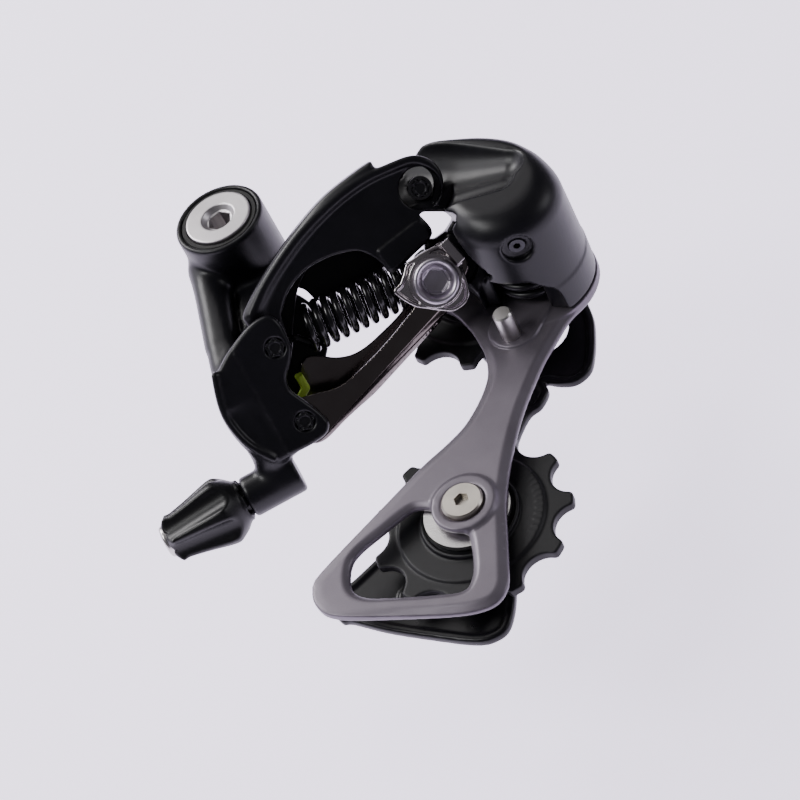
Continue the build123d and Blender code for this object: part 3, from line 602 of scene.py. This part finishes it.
def outer_link():
    """Forged outer link: rolled crown, recessed front face, arch, pad and the rim round the pin."""
    room = Room(["outer_link"], 0.32)
    crown = [(-3.0, 6.0), (-3.2, 9.0), (0.0, 11.8), (7.2, 16.1), (15.8, 20.4), (24.8, 23.8),
             (33.3, 25.4), (38.2, 25.9)]
    under = [(38.2, 22.9), (33.3, 22.4), (25.8, 20.9), (17.0, 17.5), (8.6, 13.2), (2.6, 8.6),
             (0.6, 4.6)]
    crown, under = smooth_loop(crown, 6, False), smooth_loop(under, 6, False)
    roof_loop = crown + under
    roof = slab(flat_field(roof_loop, room.v, room.w), room.q, -7.7, 7.4, 1.3)
    face_loop = smooth_loop([(-2.0, 8.0), (2.2, 10.6), (9.0, 15.0), (17.0, 18.6), (25.8, 21.4),
                             (34.0, 22.9), (42.5, 22.6), (48.2, 21.0), (50.0, 18.0), (49.4, 14.2),
                             (46.4, 11.0)], 5, False)
    face_loop += smooth_loop([(42.0, 10.4), (42.6, 5.4), (36.6, 3.2), (30.6, 1.8), (29.6, 4.6),
                              (28.4, 7.4), (25.6, 10.3), (20.0, 11.9), (14.0, 11.8), (8.4, 9.6),
                              (4.8, 6.0), (3.6, 1.0), (2.6, -2.6), (-2.6, -2.8), (-4.0, 2.0)],
                             5, False)
    face_flat = flat_field(face_loop, room.v, room.w)
    front = slab(face_flat, room.q, 5.95, 6.9, 0.35)
    link = join(roof, front, 1.2)
    ridge_path = smooth_loop([(-1.0, 8.6), (5.2, 13.2), (15.4, 18.4), (25.6, 21.6), (34.0, 22.9),
                              (41.0, 22.6), (46.6, 21.6), (49.4, 18.4), (49.2, 14.8),
                              (46.6, 11.2)], 6, False)
    ridge = slab(flat_field(ridge_path, room.v, room.w, False) - 1.0, room.q, 3.0, 8.1, 0.8)
    link = join(link, ridge, 1.0)
    pad_loop = rounded_loop([(39.7, 9.4), (29.8, 7.8), (30.6, 2.2), (42.2, 5.0), (41.6, 9.4)], 0.8)
    link = join(link, slab(flat_field(pad_loop, room.v, room.w), room.q, 5.95, 7.5, 0.3), 0.4)
    wall_path = smooth_loop([(5.0, 7.0), (8.6, 10.2), (14.0, 12.4), (20.0, 12.5), (25.0, 11.4)],
                            6, False)
    arch = slab(flat_field(wall_path, room.v, room.w, False) - 0.7, room.q, -3.0, 6.6, 0.4)
    link = join(link, arch, 0.6)
    link = cut(link, slab(room.from_pin(D) - 4.7, room.q, 5.9, 12.0), 0.5)
    rear_loop = smooth_loop([(-3.0, 7.0), (6.0, 13.6), (15.8, 18.6), (25.0, 22.0), (36.0, 23.6),
                             (44.6, 22.4), (50.0, 17.4), (47.0, 10.0), (41.0, 11.0), (32.0, 14.4),
                             (22.0, 13.8), (12.0, 9.8), (6.0, 2.4), (1.6, -4.0), (-3.4, -3.0)])
    rear = slab(flat_field(rear_loop, room.v, room.w), room.q, -7.55, -5.35, 0.4)
    link = join(link, rear, 0.8)
    back_loop = smooth_loop([(7.4, 11.2), (8.6, 15.4), (15.8, 19.6), (25.0, 23.0), (36.0, 24.4),
                             (40.0, 20.0), (37.0, 10.0), (33.0, 4.0), (28.0, 1.4), (20.0, 2.8),
                             (13.4, 3.4), (11.4, 7.6)])
    back = slab(flat_field(back_loop, room.v, room.w), room.q, -9.6, -7.9, 0.5)
    back_roof = slab(flat_field(crown[12:] + under[:-12], room.v, room.w), room.q, -9.6, -5.0, 0.6)
    link = join(join(link, back_roof, 0.6), back, 0.8)
    for pin in (A, D):
        link = cut(link, slab(room.from_pin(pin) - LINK_BORE, room.q, -PAST, PAST))
    piece = soften(skin("outer_link_forging", room, link), 1)
    return settle(piece, FORGED_BLACK, "outer_arm", "black_paint", "outer_link")


def pin_sleeve():
    """Plastic sleeve round the lower bracket pin, between the inner link's two sides."""
    room = Room(["inner_link_bracket_pin"], 0.25, 2.5)
    out = room.from_pin(B)
    wall = slab(np.abs(out - 3.3) - 1.1, room.q, -5.0, 5.9, 0.3)
    rib_path = [(B[0] + 0.4, B[1] + 4.0), (B[0] + 3.6, B[1] + 6.0), (B[0] + 3.4, B[1] + 9.6)]
    rib = slab(flat_field(rib_path, room.v, room.w, False) - 0.9, room.q, 4.9, 5.9, 0.3)
    piece = skin("inner_pin_sleeve", room, join(wall, rib, 0.8))
    dress(piece, BEARING_GREEN)
    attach(piece, "bracket")
    return piece


def inner_link():
    """Pressed steel inner link: one sheet bent into a channel, deeper in front."""
    room = Room(["inner_link"], 0.26)
    along, up = room.along_link()
    sheet, wall_middle = 0.75, 6.85
    pressed_boss = (6.1, 7.6)
    section = [(-6.85, 9.0), (-6.85, -2.0), (-6.0, -3.6), (-4.6, -4.2), (2.4, -6.4), (5.2, -7.0),
               (6.6, -5.6), (6.85, -3.6), (6.85, 8.0)]
    channel = flat_field(smooth_loop(section, 4, False), room.q, up, False) - sheet
    front_loop = [(-3.6, 3.0), (-4.0, -2.0), (-1.0, -6.2), (7.7, -6.9), (26.6, -8.9), (39.1, -8.4),
                  (44.0, -6.0), (50.6, -3.0), (50.4, 3.6), (45.0, 4.6), (36.6, -0.4),
                  (30.0, -1.5), (20.0, -1.7), (11.0, -0.7), (5.6, 2.5), (1.6, 4.6), (-2.0, 4.4)]
    back_loop = [(-3.6, 2.0), (-3.0, -4.4), (6.0, -4.8), (40.0, -5.0), (48.4, -4.0), (51.0, 0.0),
                 (49.4, 3.6), (44.0, 3.4), (34.0, -0.3), (25.0, -0.4), (18.7, 0.6), (14.6, 3.2),
                 (11.2, 7.6), (8.0, 8.4), (3.0, 5.0), (-1.0, 4.2)]
    front = flat_field(smooth_loop(front_loop), along, up)
    back = flat_field(smooth_loop(back_loop), along, up)
    outline = np.where(room.q > 0, front, back)
    middle = slab(np.abs(along - 21.0) - 16.0, room.q, -6.0, 6.0)
    walls = np.abs(np.abs(room.q) - wall_middle) - sheet
    sheet_field = overlap(overlap(channel, outline, 0.2), join(middle, walls), 0.1)
    link = join(sheet_field, slab(room.from_pin(CLAMP) - 5.0, room.q, *pressed_boss, 0.2), 0.3)
    for pin in (B, C):
        out = room.from_pin(pin)
        link = join(link, slab(out - 4.2, room.q, *pressed_boss, 0.2), 0.2)
        link = cut(link, slab(out - LINK_BORE, room.q, -PAST, PAST))
    piece = soften(skin("inner_link_pressing", room, link), 2)
    return settle(piece, LINK_STEEL, "inner_arm", "bright_steel", "inner_link")


def staked_pin(name, node, centre, top, bottom, body):
    """Link pin with a five-pointed stake mark in its head."""
    room = Room([node], 0.16, 0.8)
    v, w = room.v - centre[0], room.w - centre[1]
    out = room.from_pin(centre)
    turn = np.arctan2(w, v)
    point_gap = 0.4 * pi
    near = turn - point_gap * np.round(turn / point_gap)
    pin = slab(out - 1.98, room.q, bottom, top - 0.1, 0.1)
    head = slab(out - (2.15 + 0.3 * np.cos(near * 5) * (np.abs(near) < 0.63)), room.q, top - 0.7,
                top, 0.2)
    pin = join(pin, head, 0.1)
    dents = np.sqrt((out * np.cos(near) - 1.75) ** 2 + (out * np.sin(near)) ** 2
                    + (room.q - top) ** 2) - 0.42
    pin = cut(cut(pin, dents, 0.1), slab(out - 1.25, room.q, top - 0.35, top + 5, 0.1), 0.15)
    piece = skin(name, room, pin)
    return settle(piece, PIN_BLACK, body, "black_steel", node)


# ==== Hanger bolt ================================================================================

def hanger_bolt():
    """Pivot bolt: faced head with a countersunk hexagon socket, shaft, shoulder and thread."""
    room = Room(["hanger_bolt"], 0.2, 0.6)
    out = room.from_axis(HANGER)
    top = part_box("hanger_bolt")[1].z / MM
    head = slab(out - 8.0, room.z, top - 2.0, top, 0.35)
    shaft = slab(out - 6.0, room.z, 0.0, top - 1.0, 0.1)
    thread = 4.72 + 0.28 * np.cos(2 * pi * (room.z - np.arctan2(room.y, room.x) / (2 * pi)))
    low = slab(out - thread, room.z, -10.0, 0.5, 0.3)
    bolt = join(join(head, shaft), low)
    sink = out - 4.1 + 0.75 * (top - room.z)
    bolt = cut(bolt, np.maximum(sink, top - 1.3 - room.z), 0.15)
    hexagon = np.max([room.x * cos(a) + room.y * sin(a) for a in np.arange(6) * pi / 3 + 0.35],
                     axis=0) - 2.5
    bolt = cut(bolt, np.maximum(hexagon, top - 6.0 - room.z), 0.1)
    groove_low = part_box("b_snap_ring")[0].z / MM
    groove = np.maximum(5.5 - out, np.abs(room.z - groove_low - 0.3) - 0.32)
    bolt = cut(bolt, groove)
    piece = skin("hanger_bolt_turned", room, bolt)
    return settle(piece, BOLT_FACE, "hanger_side", "silver_steel", "hanger_bolt")


# ==== Cable clamp ================================================================================

def cable_clamp_plate():
    """Keyed washer: scalloped outline, raised rim and a turned-up tab."""
    room = Room(["cable_clamp_plate"], 0.18, 2.5)
    outline = smooth_loop([(28.8, -1.9), (30.8, -0.8), (32.5, 0.7), (34.0, 2.3), (35.9, 2.6),
                           (39.0, 2.9), (42.4, 2.6), (44.0, 0.6), (46.0, -0.4), (46.4, -2.6),
                           (44.9, -3.8), (44.5, -6.6), (43.4, -10.0), (41.6, -11.6), (38.8, -11.9),
                           (36.4, -10.6), (33.6, -8.6), (31.0, -6.4)])
    flat = flat_field(outline, room.v, room.w)
    plate = slab(flat, room.q, 7.8, 9.6, 0.3)
    plate = cut(plate, slab(flat + 0.9, room.q, 9.15, 12.0), 0.4)
    seat = room.from_pin(CLAMP)
    plate = join(plate, slab(seat - 6.0, room.q, 7.8, 9.75, 0.2), 0.3)
    tab_loop = rounded_loop([(42.5, 2.6), (45.1, 3.1), (46.4, -2.6), (43.9, -3.4)], 0.3)
    plate = join(plate, slab(flat_field(tab_loop, room.v, room.w), room.q, 8.0, 10.9, 0.25), 0.3)
    plate = cut(plate, slab(seat - 2.52, room.q, 0, PAST))
    piece = soften(skin("clamp_washer", room, plate), 2)
    return settle(piece, CLAMP_STEEL, "inner_arm", "bright_steel", "cable_clamp_plate")


def cable_clamp_bolt():
    """Round-headed bolt with a deep smooth bowl and a hexagon at its bottom."""
    room = Room(["cable_clamp_bolt"], 0.15, 1.0)
    v, w = room.v - CLAMP[0], room.w - CLAMP[1]
    out = room.from_pin(CLAMP)
    bolt = slab(out - 2.5, room.q, 5.6, 10.0)
    head = slab(out - 5.1, room.q, 9.75, 13.9, 0.7)
    bowl = out - (3.1 + 1.1 * np.clip((room.q - 11.6) / 2.3, 0, 1) ** 2)
    head = cut(head, slab(bowl, room.q, 11.4, 20.0), 0.35)
    hexagon = np.max([v * cos(a) + w * sin(a) for a in np.arange(6) * pi / 3], axis=0) - 2.5
    head = cut(head, slab(hexagon, room.q, 10.4, 20.0), 0.15)
    piece = soften(skin("clamp_bolt", room, join(bolt, head)), 2)
    return settle(piece, CLAMP_BOLT, "inner_arm", "bright_steel", "cable_clamp_bolt")


# ==== Cage pivot knuckle =========================================================================

def cage_knuckle():
    """Forged knuckle: domed drum, scooped head, tongues for the links and the stop's cutaway."""
    room = Room(["cage_knuckle"], 0.4)
    out = room.from_axis(CAGE_PIVOT)
    drum = slab(out - (13.6 - 0.03 * room.z), room.z, -4.1, 25.4, 5.5)
    drum = join(drum, slab(out - 13.7, room.z, -4.1, 4.0, 0.4))
    head_loop = [(43.8, 12.4), (46.0, 15.0), (49.3, 16.6), (54.6, 17.4), (62.5, 17.6), (68.9, 16.6),
                 (73.6, 14.6), (78.0, 11.0), (81.0, 5.0), (80.0, -3.0), (75.0, -8.0), (68.0, -9.0),
                 (61.0, -5.4), (55.0, -0.6), (50.0, 4.0), (46.0, 8.0)]
    head_flat = flat_field(smooth_loop(head_loop), room.x, room.y)
    head = slab(head_flat, room.z, 12.0, 25.2, 3.0)
    body = join(drum, head, 2.5)
    lower_loop = [(50.0, -6.0), (58.0, -7.6), (68.0, -10.0), (72.0, 4.0), (62.0, 8.0), (52.0, 2.6),
                  (48.4, -2.0)]
    lower = slab(flat_field(smooth_loop(lower_loop), room.x, room.y), room.z, 0.0, 12.0, 2.0)
    body = join(body, lower, 2.0)
    tongue_d = flat_field(smooth_loop([(40.0, 18.6), (46.0, 21.6), (53.0, 18.6), (56.0, 12.0),
                                       (50.0, 6.0), (45.0, 8.6), (40.0, 11.6)]), room.v, room.w)
    body = join(body, slab(tongue_d, room.q, -5.1, 5.1, 0.6), 1.2)
    tongue_c = room.from_pin(C) - 4.0
    arm_c = flat_field([C, (51.0, -3.0)], room.v, room.w, False) - 4.0
    body = join(body, slab(join(tongue_c, arm_c), room.q, -5.1, 5.1, 0.5), 1.0)
    body = scoops(room, body)
    body = knuckle_cuts(room, body, out)
    piece = soften(skin("knuckle_body", room, body), 2)
    return settle(piece, FORGED_BLACK, "knuckle", "black_paint", "cage_knuckle")


def scoops(room, body):
    """The long hollow in the head, open towards the link, with a ridge along its middle."""
    upper = rod(room, (45.0, 6.6, 28.6), (71.0, 7.4, 27.6), 11.4, 5.2)
    lower = rod(room, (47.0, -2.6, 25.0), (71.2, 3.0, 26.8), 5.6, 3.8)
    return cut(body, join(upper, lower, 1.0), 0.9)


def knuckle_cuts(room, body, out):
    """Room for the links, the axle and its spring, the stop's arch and the set screw's flat."""
    swings = ((D, 7.4, 5.2, 16.0), (D, 7.4, -16.0, -5.2), (C, 8.8, 7.6, 18.0),
              (C, 6.4, 5.2, 16.0), (C, 6.4, -16.0, -5.2), (C, 5.4, -1.1, 1.1))
    for pin, radius, low, high in swings:
        body = cut(body, slab(room.from_pin(pin) - radius, room.q, low, high), 0.3)
    throat = rounded_loop([(39.8, 11.6), (43.0, 10.6), (47.8, 8.0), (48.6, 6.2), (45.6, 4.4),
                           (42.6, 4.0), (39.0, 6.0)], 1.0)
    body = cut(body, slab(flat_field(throat, room.v, room.w), room.q, -20.0, 20.0), 0.4)
    swept = [(C[0] + far * cos(a), C[1] + far * sin(a)) for far, a in
             ((13.0, pi), (40.0, pi), (40.0, radians(124)), (13.0, radians(124)))]
    body = cut(body, slab(flat_field(swept, room.v, room.w) - SPRING_ROOM,
                          room.q, -SPRING_ROOM, SPRING_ROOM), 0.3)
    body = cut(body, slab(out - 10.0, room.z, -10, 12.0))
    body = cut(body, slab(out - 5.2, room.z, -10, 21.7))
    arch_angle = radians(-92.0)
    dx, dy = room.x - CAGE_PIVOT.x, room.y - CAGE_PIVOT.y
    side = -dx * sin(arch_angle) + dy * cos(arch_angle)
    reach = dx * cos(arch_angle) + dy * sin(arch_angle)
    arch = rounded_loop([(-9.6, -10.0), (10.4, -10.0), (9.6, 3.0), (5.0, 8.6), (-4.0, 9.2),
                         (-8.6, 5.0)], 2.6)
    body = cut(body, slab(path_distance(arch, side, room.z, True), reach, 8.6, PAST), 0.8)
    screw_height, screw_angle = 18.6, radians(-64.8)
    screw_way = Vector((cos(screw_angle), sin(screw_angle), 0))
    start = CAGE_PIVOT + Vector((0, 0, screw_height - CAGE_PIVOT.z)) + screw_way * 11.4
    body = cut(body, barrel(room, start, screw_way, 3.4, 12.0, 0.2), 0.5)
    body = cut(body, barrel(room, start - screw_way * 8.0, screw_way, 1.8, 20.0))
    for pin in (C, D):
        body = cut(body, slab(room.from_pin(pin) - KNUCKLE_BORE, room.q, -PAST, PAST))
    return body


# ==== Cage =======================================================================================

PLATE_LOW, PLATE_HIGH = -6.6, -4.4


def cage_outer_plate():
    """Outer plate: bevelled edges, raised rings round the pulley bolt and the stop pin's pad."""
    room = Room(["cage_outer_plate"], 0.3, 1.2)
    left = [(42.8, -80.2), (52.6, -62.2), (57.8, -52.5), (62.2, -45.8), (65.0, -40.4),
            (66.6, -33.0), (66.6, -27.0), (64.6, -21.5), (62.1, -17.8), (59.0, -14.0),
            (54.0, -9.6), (47.6, -6.0), (45.8, 1.0), (47.8, 7.6), (56.0, 11.4)]
    right = [(66.0, 12.6), (78.0, 12.0), (85.0, 5.0), (85.6, -3.4), (82.0, -11.0), (80.3, -17.2),
             (78.9, -23.0), (77.8, -31.7), (77.4, -38.3), (77.6, -45.1), (78.2, -52.0),
             (79.5, -60.3), (81.6, -67.4), (84.0, -75.6), (85.2, -80.4), (84.4, -84.2),
             (81.6, -86.6), (76.0, -88.2), (64.0, -89.6), (50.0, -90.6), (44.6, -88.6),
             (42.2, -84.6)]
    outline = flat_field(smooth_loop(left + right), room.x, room.y)
    window = flat_field(smooth_loop([(49.0, -78.2), (49.9, -74.4), (54.0, -69.0), (58.1, -63.9),
                                     (60.5, -62.7), (63.9, -63.2), (66.8, -65.8), (70.0, -67.8),
                                     (72.8, -68.4), (74.2, -70.4), (76.4, -76.1), (77.0, -79.9),
                                     (75.8, -82.6), (70.0, -83.9), (62.0, -84.9), (54.8, -85.4),
                                     (50.8, -83.4)]), room.x, room.y)
    flat = np.maximum(outline, -window)
    plate = slab(flat, room.z, PLATE_LOW, PLATE_HIGH, 0.35)
    over = room.z - PLATE_HIGH
    fade = np.clip((room.x - 44) / 30, 0.25, 1)
    plate = overlap(plate, over + 0.5 * np.clip(outline + 2.2, 0, 3) * fade, 0.3)
    plate = overlap(plate, over + 0.6 * np.clip(1.5 - window, 0, 3), 0.3)
    ring = slab(np.abs(room.from_axis(TENSION) - 6.0) - 1.1, room.z, PLATE_HIGH - 1.0,
                PLATE_HIGH + 0.55, 0.5)
    plate = join(plate, overlap(ring, outline + 0.6, 0.4), 1.2)
    pad = flat_field([(70.0, -14.0), (71.4, -8.0)], room.x, room.y, False) - 6.0
    plate = join(plate, overlap(slab(pad, room.z, PLATE_LOW, PLATE_HIGH + 0.45, 0.3),
                                outline + 0.6, 0.3), 0.3)
    collar_out = room.from_axis(CAGE_PIVOT)
    plate = join(plate, slab(collar_out - 13.9, room.z, PLATE_LOW, PLATE_HIGH, 0.3), 0.4)
    plate = cut(plate, slab(collar_out - 3.0, room.z, -10, 0))
    for centre in (TENSION, GUIDE):
        plate = cut(plate, slab(room.from_axis(centre) - PULLEY_BOLT_BORE, room.z, -10, 0))
    piece = skin("outer_cage_plate", room, plate)
    return settle(piece, CAGE_GREY, "cage", "grey_paint", "cage_outer_plate")


INNER_LOW, INNER_HIGH = -17.4, -15.4


def cage_inner_plate():
    """Inner plate: pressed sheet with a rolled lip round its tail and its upper lobe."""
    room = Room(["cage_inner_plate"], 0.32, 1.2)
    outline = flat_field(smooth_loop([(44.8, -85.0), (41.8, -81.8), (42.4, -78.0), (44.9, -74.6),
                                      (49.0, -68.3), (54.6, -59.6), (60.6, -49.0), (64.6, -40.0),
                                      (66.2, -30.0), (62.6, -18.0), (54.0, -9.4), (48.0, -5.0),
                                      (47.4, 3.0), (52.0, 8.6), (64.0, 9.4), (76.0, 6.4),
                                      (81.6, -0.4), (84.0, -7.4), (85.2, -14.6), (84.6, -17.9),
                                      (82.3, -20.3), (78.9, -20.8), (75.2, -20.4), (76.6, -23.0),
                                      (75.8, -27.0), (73.6, -30.0), (72.6, -38.0), (73.4, -48.0),
                                      (77.0, -60.0), (81.9, -74.5), (83.0, -83.4), (80.6, -87.0),
                                      (76.0, -88.2), (66.0, -87.6), (56.0, -86.6), (47.4, -85.0)]),
                          room.x, room.y)
    hole = room.from_axis((69.9, -5.7)) - 7.2
    window = flat_field(rounded_loop([(57.0, -77.6), (61.4, -70.4), (66.0, -72.0), (72.6, -73.0),
                                      (75.4, -81.0), (58.6, -82.0)], 2.0), room.x, room.y)
    flat = np.maximum(np.maximum(outline, -hole), -window)
    plate = slab(flat, room.z, INNER_LOW, INNER_HIGH - 0.5, 0.3)
    lip = slab(np.abs(outline + 0.8) - 0.8, room.z, INNER_LOW, INNER_HIGH, 0.5)
    rib = slab(np.abs(window) - 0.9, room.z, INNER_LOW, INNER_HIGH, 0.5)
    plate = join(join(plate, lip, 0.6), rib, 0.6)
    for centre in (TENSION, GUIDE):
        out = room.from_axis(centre)
        plate = join(plate, slab(out - 6.4, room.z, INNER_LOW, INNER_HIGH, 0.3), 0.6)
        plate = cut(plate, slab(out - PULLEY_BOLT_BORE, room.z, -PAST, 0))
    piece = skin("inner_cage_plate", room, plate)
    return settle(piece, PLATE_BLACK, "cage", "black_steel", "cage_inner_plate")


# ==== Pulleys ====================================================================================

TEETH, TIP_RADIUS = 11, 22.6
CHAIN_PITCH = 12.7
PITCH_RADIUS = CHAIN_PITCH / 2 / sin(pi / TEETH)


def chain_pulley(name, node, centre, body):
    """Moulded pulley: chamfered teeth, dished web with short ribs, hub and seal lip."""
    room = Room([node], 0.24, 0.8)
    out = room.from_axis(centre)
    tooth_angle = 2 * pi / TEETH
    turn = np.arctan2(room.y - centre.y, room.x - centre.x)
    near = turn - tooth_angle * np.round(turn / tooth_angle)
    valley = np.sqrt((out * np.cos(near) - PITCH_RADIUS - 0.6) ** 2
                     + (out * np.sin(near)) ** 2) - 4.5
    flat = cut(out - TIP_RADIUS, valley, 0.9)
    height = room.z - centre.z
    thin = np.clip((out - 18.0) / 4.6, 0, 1) * 0.35
    wheel = slab(flat + thin, height, -1.15, 1.15, 0.35)
    wheel = join(wheel, slab(out - 16.4, height, -1.75, 1.75, 0.5), 0.6)
    wheel = join(wheel, slab(out - 11.0, height, -2.9, 2.9, 0.4), 0.5)
    wheel = cut(wheel, slab(out - 10.2, np.abs(height), 2.5, 6.0), 0.2)
    rib_gap = radians(6)
    rib_turn = turn - rib_gap * np.round(turn / rib_gap)
    ribs = slab(np.abs(out * np.sin(rib_turn)) - 0.16, np.abs(height), 1.6, 1.9, 0.05)
    band = np.maximum(np.abs(out - 15.2) - 0.9, np.abs(turn - radians(20)) - radians(28))
    wheel = join(wheel, np.maximum(ribs, band), 0.1)
    wheel = cut(wheel, slab(out - 4.05, height, -10, 10))
    piece = skin(name, room, wheel)
    return settle(piece, MATT_PLASTIC, body, "black_plastic", node)


# ==== Cable adjuster =============================================================================

def adjuster_knob():
    """Grip with six scalloped flutes, widest near its neck."""
    room = Room(["adjuster_knob"], 0.26)
    along = -(room.v - ADJUSTER[0]) - SOCKET_LENGTH - KNOB_GAP
    side, rise = room.w - ADJUSTER[1], room.q - ADJUSTER[2]
    out = np.sqrt(side * side + rise * rise)
    profile = smooth_loop([(0.1, 0.0), (0.3, 4.6), (1.2, 5.0), (3.0, 6.6), (5.0, 8.1), (6.6, 8.2),
                           (9.0, 7.7), (13.0, 6.7), (17.0, 5.9), (19.0, 5.6), (19.2, 0.0)], 5)
    knob = flat_field(profile, along, out)
    turn = np.arctan2(rise, side)
    flute_gap = pi / 3
    near = turn - flute_gap * np.round(turn / flute_gap)
    flute_out = 10.9 - 0.16 * np.clip(along, 0, 20)
    flute = np.sqrt((out * np.cos(near) - flute_out) ** 2 + (out * np.sin(near)) ** 2) - 3.7
    knob = cut(knob, flute, 0.6)
    knob = cut(knob, slab(out - 3.85, along, 1.0, PAST), 0.3)
    notch = np.abs(out * np.sin(near)) - 0.8
    knob = cut(knob, slab(np.maximum(notch, 3.6 - out), along, -2.0, 0.7), 0.2)
    piece = skin("adjuster_grip", room, knob)
    return settle(piece, GRIP_PLASTIC, "adjuster_grip", "black_plastic", "adjuster_knob")


# ==== Return spring ==============================================================================

def tube_along(name, points, radius, sides=14):
    """A closed round wire that follows the points."""
    points = [Vector(p) for p in points]
    verts, faces = [], []
    normal = None
    for i, point in enumerate(points):
        run = (points[min(i + 1, len(points) - 1)] - points[max(i - 1, 0)]).normalized()
        if normal is None:
            normal = run.orthogonal().normalized()
        normal = (normal - run * normal.dot(run)).normalized()
        cross = run.cross(normal)
        for s in range(sides):
            angle = 2 * pi * s / sides
            verts.append((point + (normal * cos(angle) + cross * sin(angle)) * radius) * MM)
    for i in range(len(points) - 1):
        for s in range(sides):
            t = (s + 1) % sides
            faces.append((i * sides + s, i * sides + t, (i + 1) * sides + t, (i + 1) * sides + s))
    faces.append(tuple(reversed(range(sides))))
    faces.append(tuple(range((len(points) - 1) * sides, len(points) * sides)))
    mesh = bpy.data.meshes.new(name)
    mesh.from_pydata([tuple(v) for v in verts], [], faces)
    return finish_mesh(name, mesh)


def return_spring():
    """Extension spring from the bracket's pin to the knuckle's, coil and both eyes in one wire."""
    start, end = from_link_plane(*A), from_link_plane(*C)
    run = (end - start).normalized()
    side = Q_AXIS
    up = run.cross(side)
    length = (end - start).length
    wire, mean, pitch, turns, eye = 0.88, 4.9, 2.42, 11, 3.1
    low = length / 2 - pitch * turns / 2
    eye_steps, coil_steps = 28, 32
    points = [start - run * (eye * cos(a)) + up * (eye * sin(a))
              for a in np.linspace(-0.5 * pi, 1.0 * pi, eye_steps)]
    points += [start + run * (eye + (low - eye) * t) + up * (mean * t * t) for t in (0.4, 0.75)]
    for step in range(turns * coil_steps + 1):
        angle = 2 * pi * step / coil_steps
        points.append(start + run * (low + pitch * step / coil_steps) + up * (mean * cos(angle))
                      + side * (mean * sin(angle)))
    top = low + pitch * turns
    points += [start + run * (top + (length - eye - top) * t) + up * (mean * (1 - t) ** 2)
               for t in (0.25, 0.6)]
    points += [end - run * (eye * cos(a)) - up * (eye * sin(a))
               for a in np.linspace(0, 1.5 * pi, eye_steps)]
    piece = tube_along("return_spring_wire", points, wire)
    dress(piece, SPRING_BLACK)
    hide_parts("return_spring", "return_spring_eye")
    tuple(start * MM)
    tuple(end * MM)
    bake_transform(piece)
    return piece


hanger_bolt()
bracket_knuckle()
staked_pin("pin_a_staked", "outer_link_bracket_pin", A, 10.6, -10.6, "bracket")
staked_pin("pin_b_staked", "inner_link_bracket_pin", B, 10.6, -10.6, "bracket")
staked_pin("pin_d_staked", "outer_link_knuckle_pin", D, 7.5, -7.5, "knuckle")
outer_link()
pin_sleeve()
inner_link()
cable_clamp_plate()
cable_clamp_bolt()
cage_knuckle()
cage_outer_plate()
cage_inner_plate()
chain_pulley("guide_pulley_wheel", "guide_pulley", GUIDE, "guide_wheel")
chain_pulley("tension_pulley_wheel", "tension_pulley", TENSION, "tension_wheel")
adjuster_knob()
return_spring()


# ==== Stage ======================================================================================

def floor():
    """A pale floor that glows a little, under the lowest reach of the swung cage."""
    half, height = 2.6, -0.058
    mesh = bpy.data.meshes.new("floor")
    mesh.from_pydata([(-half, -half, height), (half, -half, height), (half, half, height),
                      (-half, half, height)], [], [(0, 1, 2, 3)])
    ground = finish_mesh("floor", mesh, False)
    finish = Finish("floor_paint")
    cloud = finish.grain(60.0, 3.0)
    finish.set(Base_Color=finish.colour(cloud, (0.60, 0.56, 0.66), (0.64, 0.60, 0.70)),
               Roughness=0.75, Emission_Color=(0.88, 0.80, 1.0, 1.0), Emission_Strength=2.0)
    dress(ground, finish)


def soft_light(name, place, aim, size, power, colour=(1, 1, 1)):
    light = bpy.data.lights.new(name, "AREA")
    light.shape = "DISK"
    light.size = size
    light.energy = power
    light.color = colour
    lamp = bpy.data.objects.new(name, light)
    bpy.context.scene.collection.objects.link(lamp)
    lamp.location = place
    lamp.rotation_euler = (Vector(aim) - Vector(place)).to_track_quat("-Z", "Y").to_euler()


def studio():
    middle = (0.04, -0.03, 0.0)
    soft_light("key_light", (-0.80, 0.32, 0.70), middle, 0.50, 8.0, (1.0, 0.985, 0.98))
    soft_light("sheen_panel", (-0.46, 0.66, 0.88), middle, 0.90, 2.6, (1.0, 0.97, 0.98))
    soft_light("fill_light", (0.80, 0.35, 0.45), middle, 0.45, 1.6, (0.95, 0.94, 1.0))
    soft_light("top_light", (-0.45, -0.35, 0.80), middle, 0.40, 4.5)
    soft_light("side_panel", (-1.05, 0.05, 0.55), middle, 1.10, 8.0, (0.94, 0.91, 1.0))
    world = bpy.data.worlds.new("studio")
    bpy.context.scene.world = world
    world.use_nodes = True
    world.node_tree.nodes["Background"].inputs["Color"].default_value = (0.92, 0.89, 1.0, 1.0)
    world.node_tree.nodes["Background"].inputs["Strength"].default_value = 0.12


def camera():
    """Looks down from the front right, rolled about its own line of sight."""
    eye = Vector((0.2516, -0.2979, 0.3395))
    look = Vector((-0.42544, 0.5502, -0.71853)).normalized()
    roll = radians(-28.55)
    right = look.cross(Z).normalized()
    up = right.cross(look)
    right, up = right * cos(roll) + up * sin(roll), up * cos(roll) - right * sin(roll)
    data = bpy.data.cameras.new("camera")
    data.lens = 97.6
    data.sensor_width = 36.0
    data.clip_start = 0.01
    view = bpy.data.objects.new("camera", data)
    bpy.context.scene.collection.objects.link(view)
    view.matrix_world = Matrix((right, up, -look)).transposed().to_4x4()
    view.matrix_world.translation = eye
    bpy.context.scene.camera = view


floor()
studio()
camera()
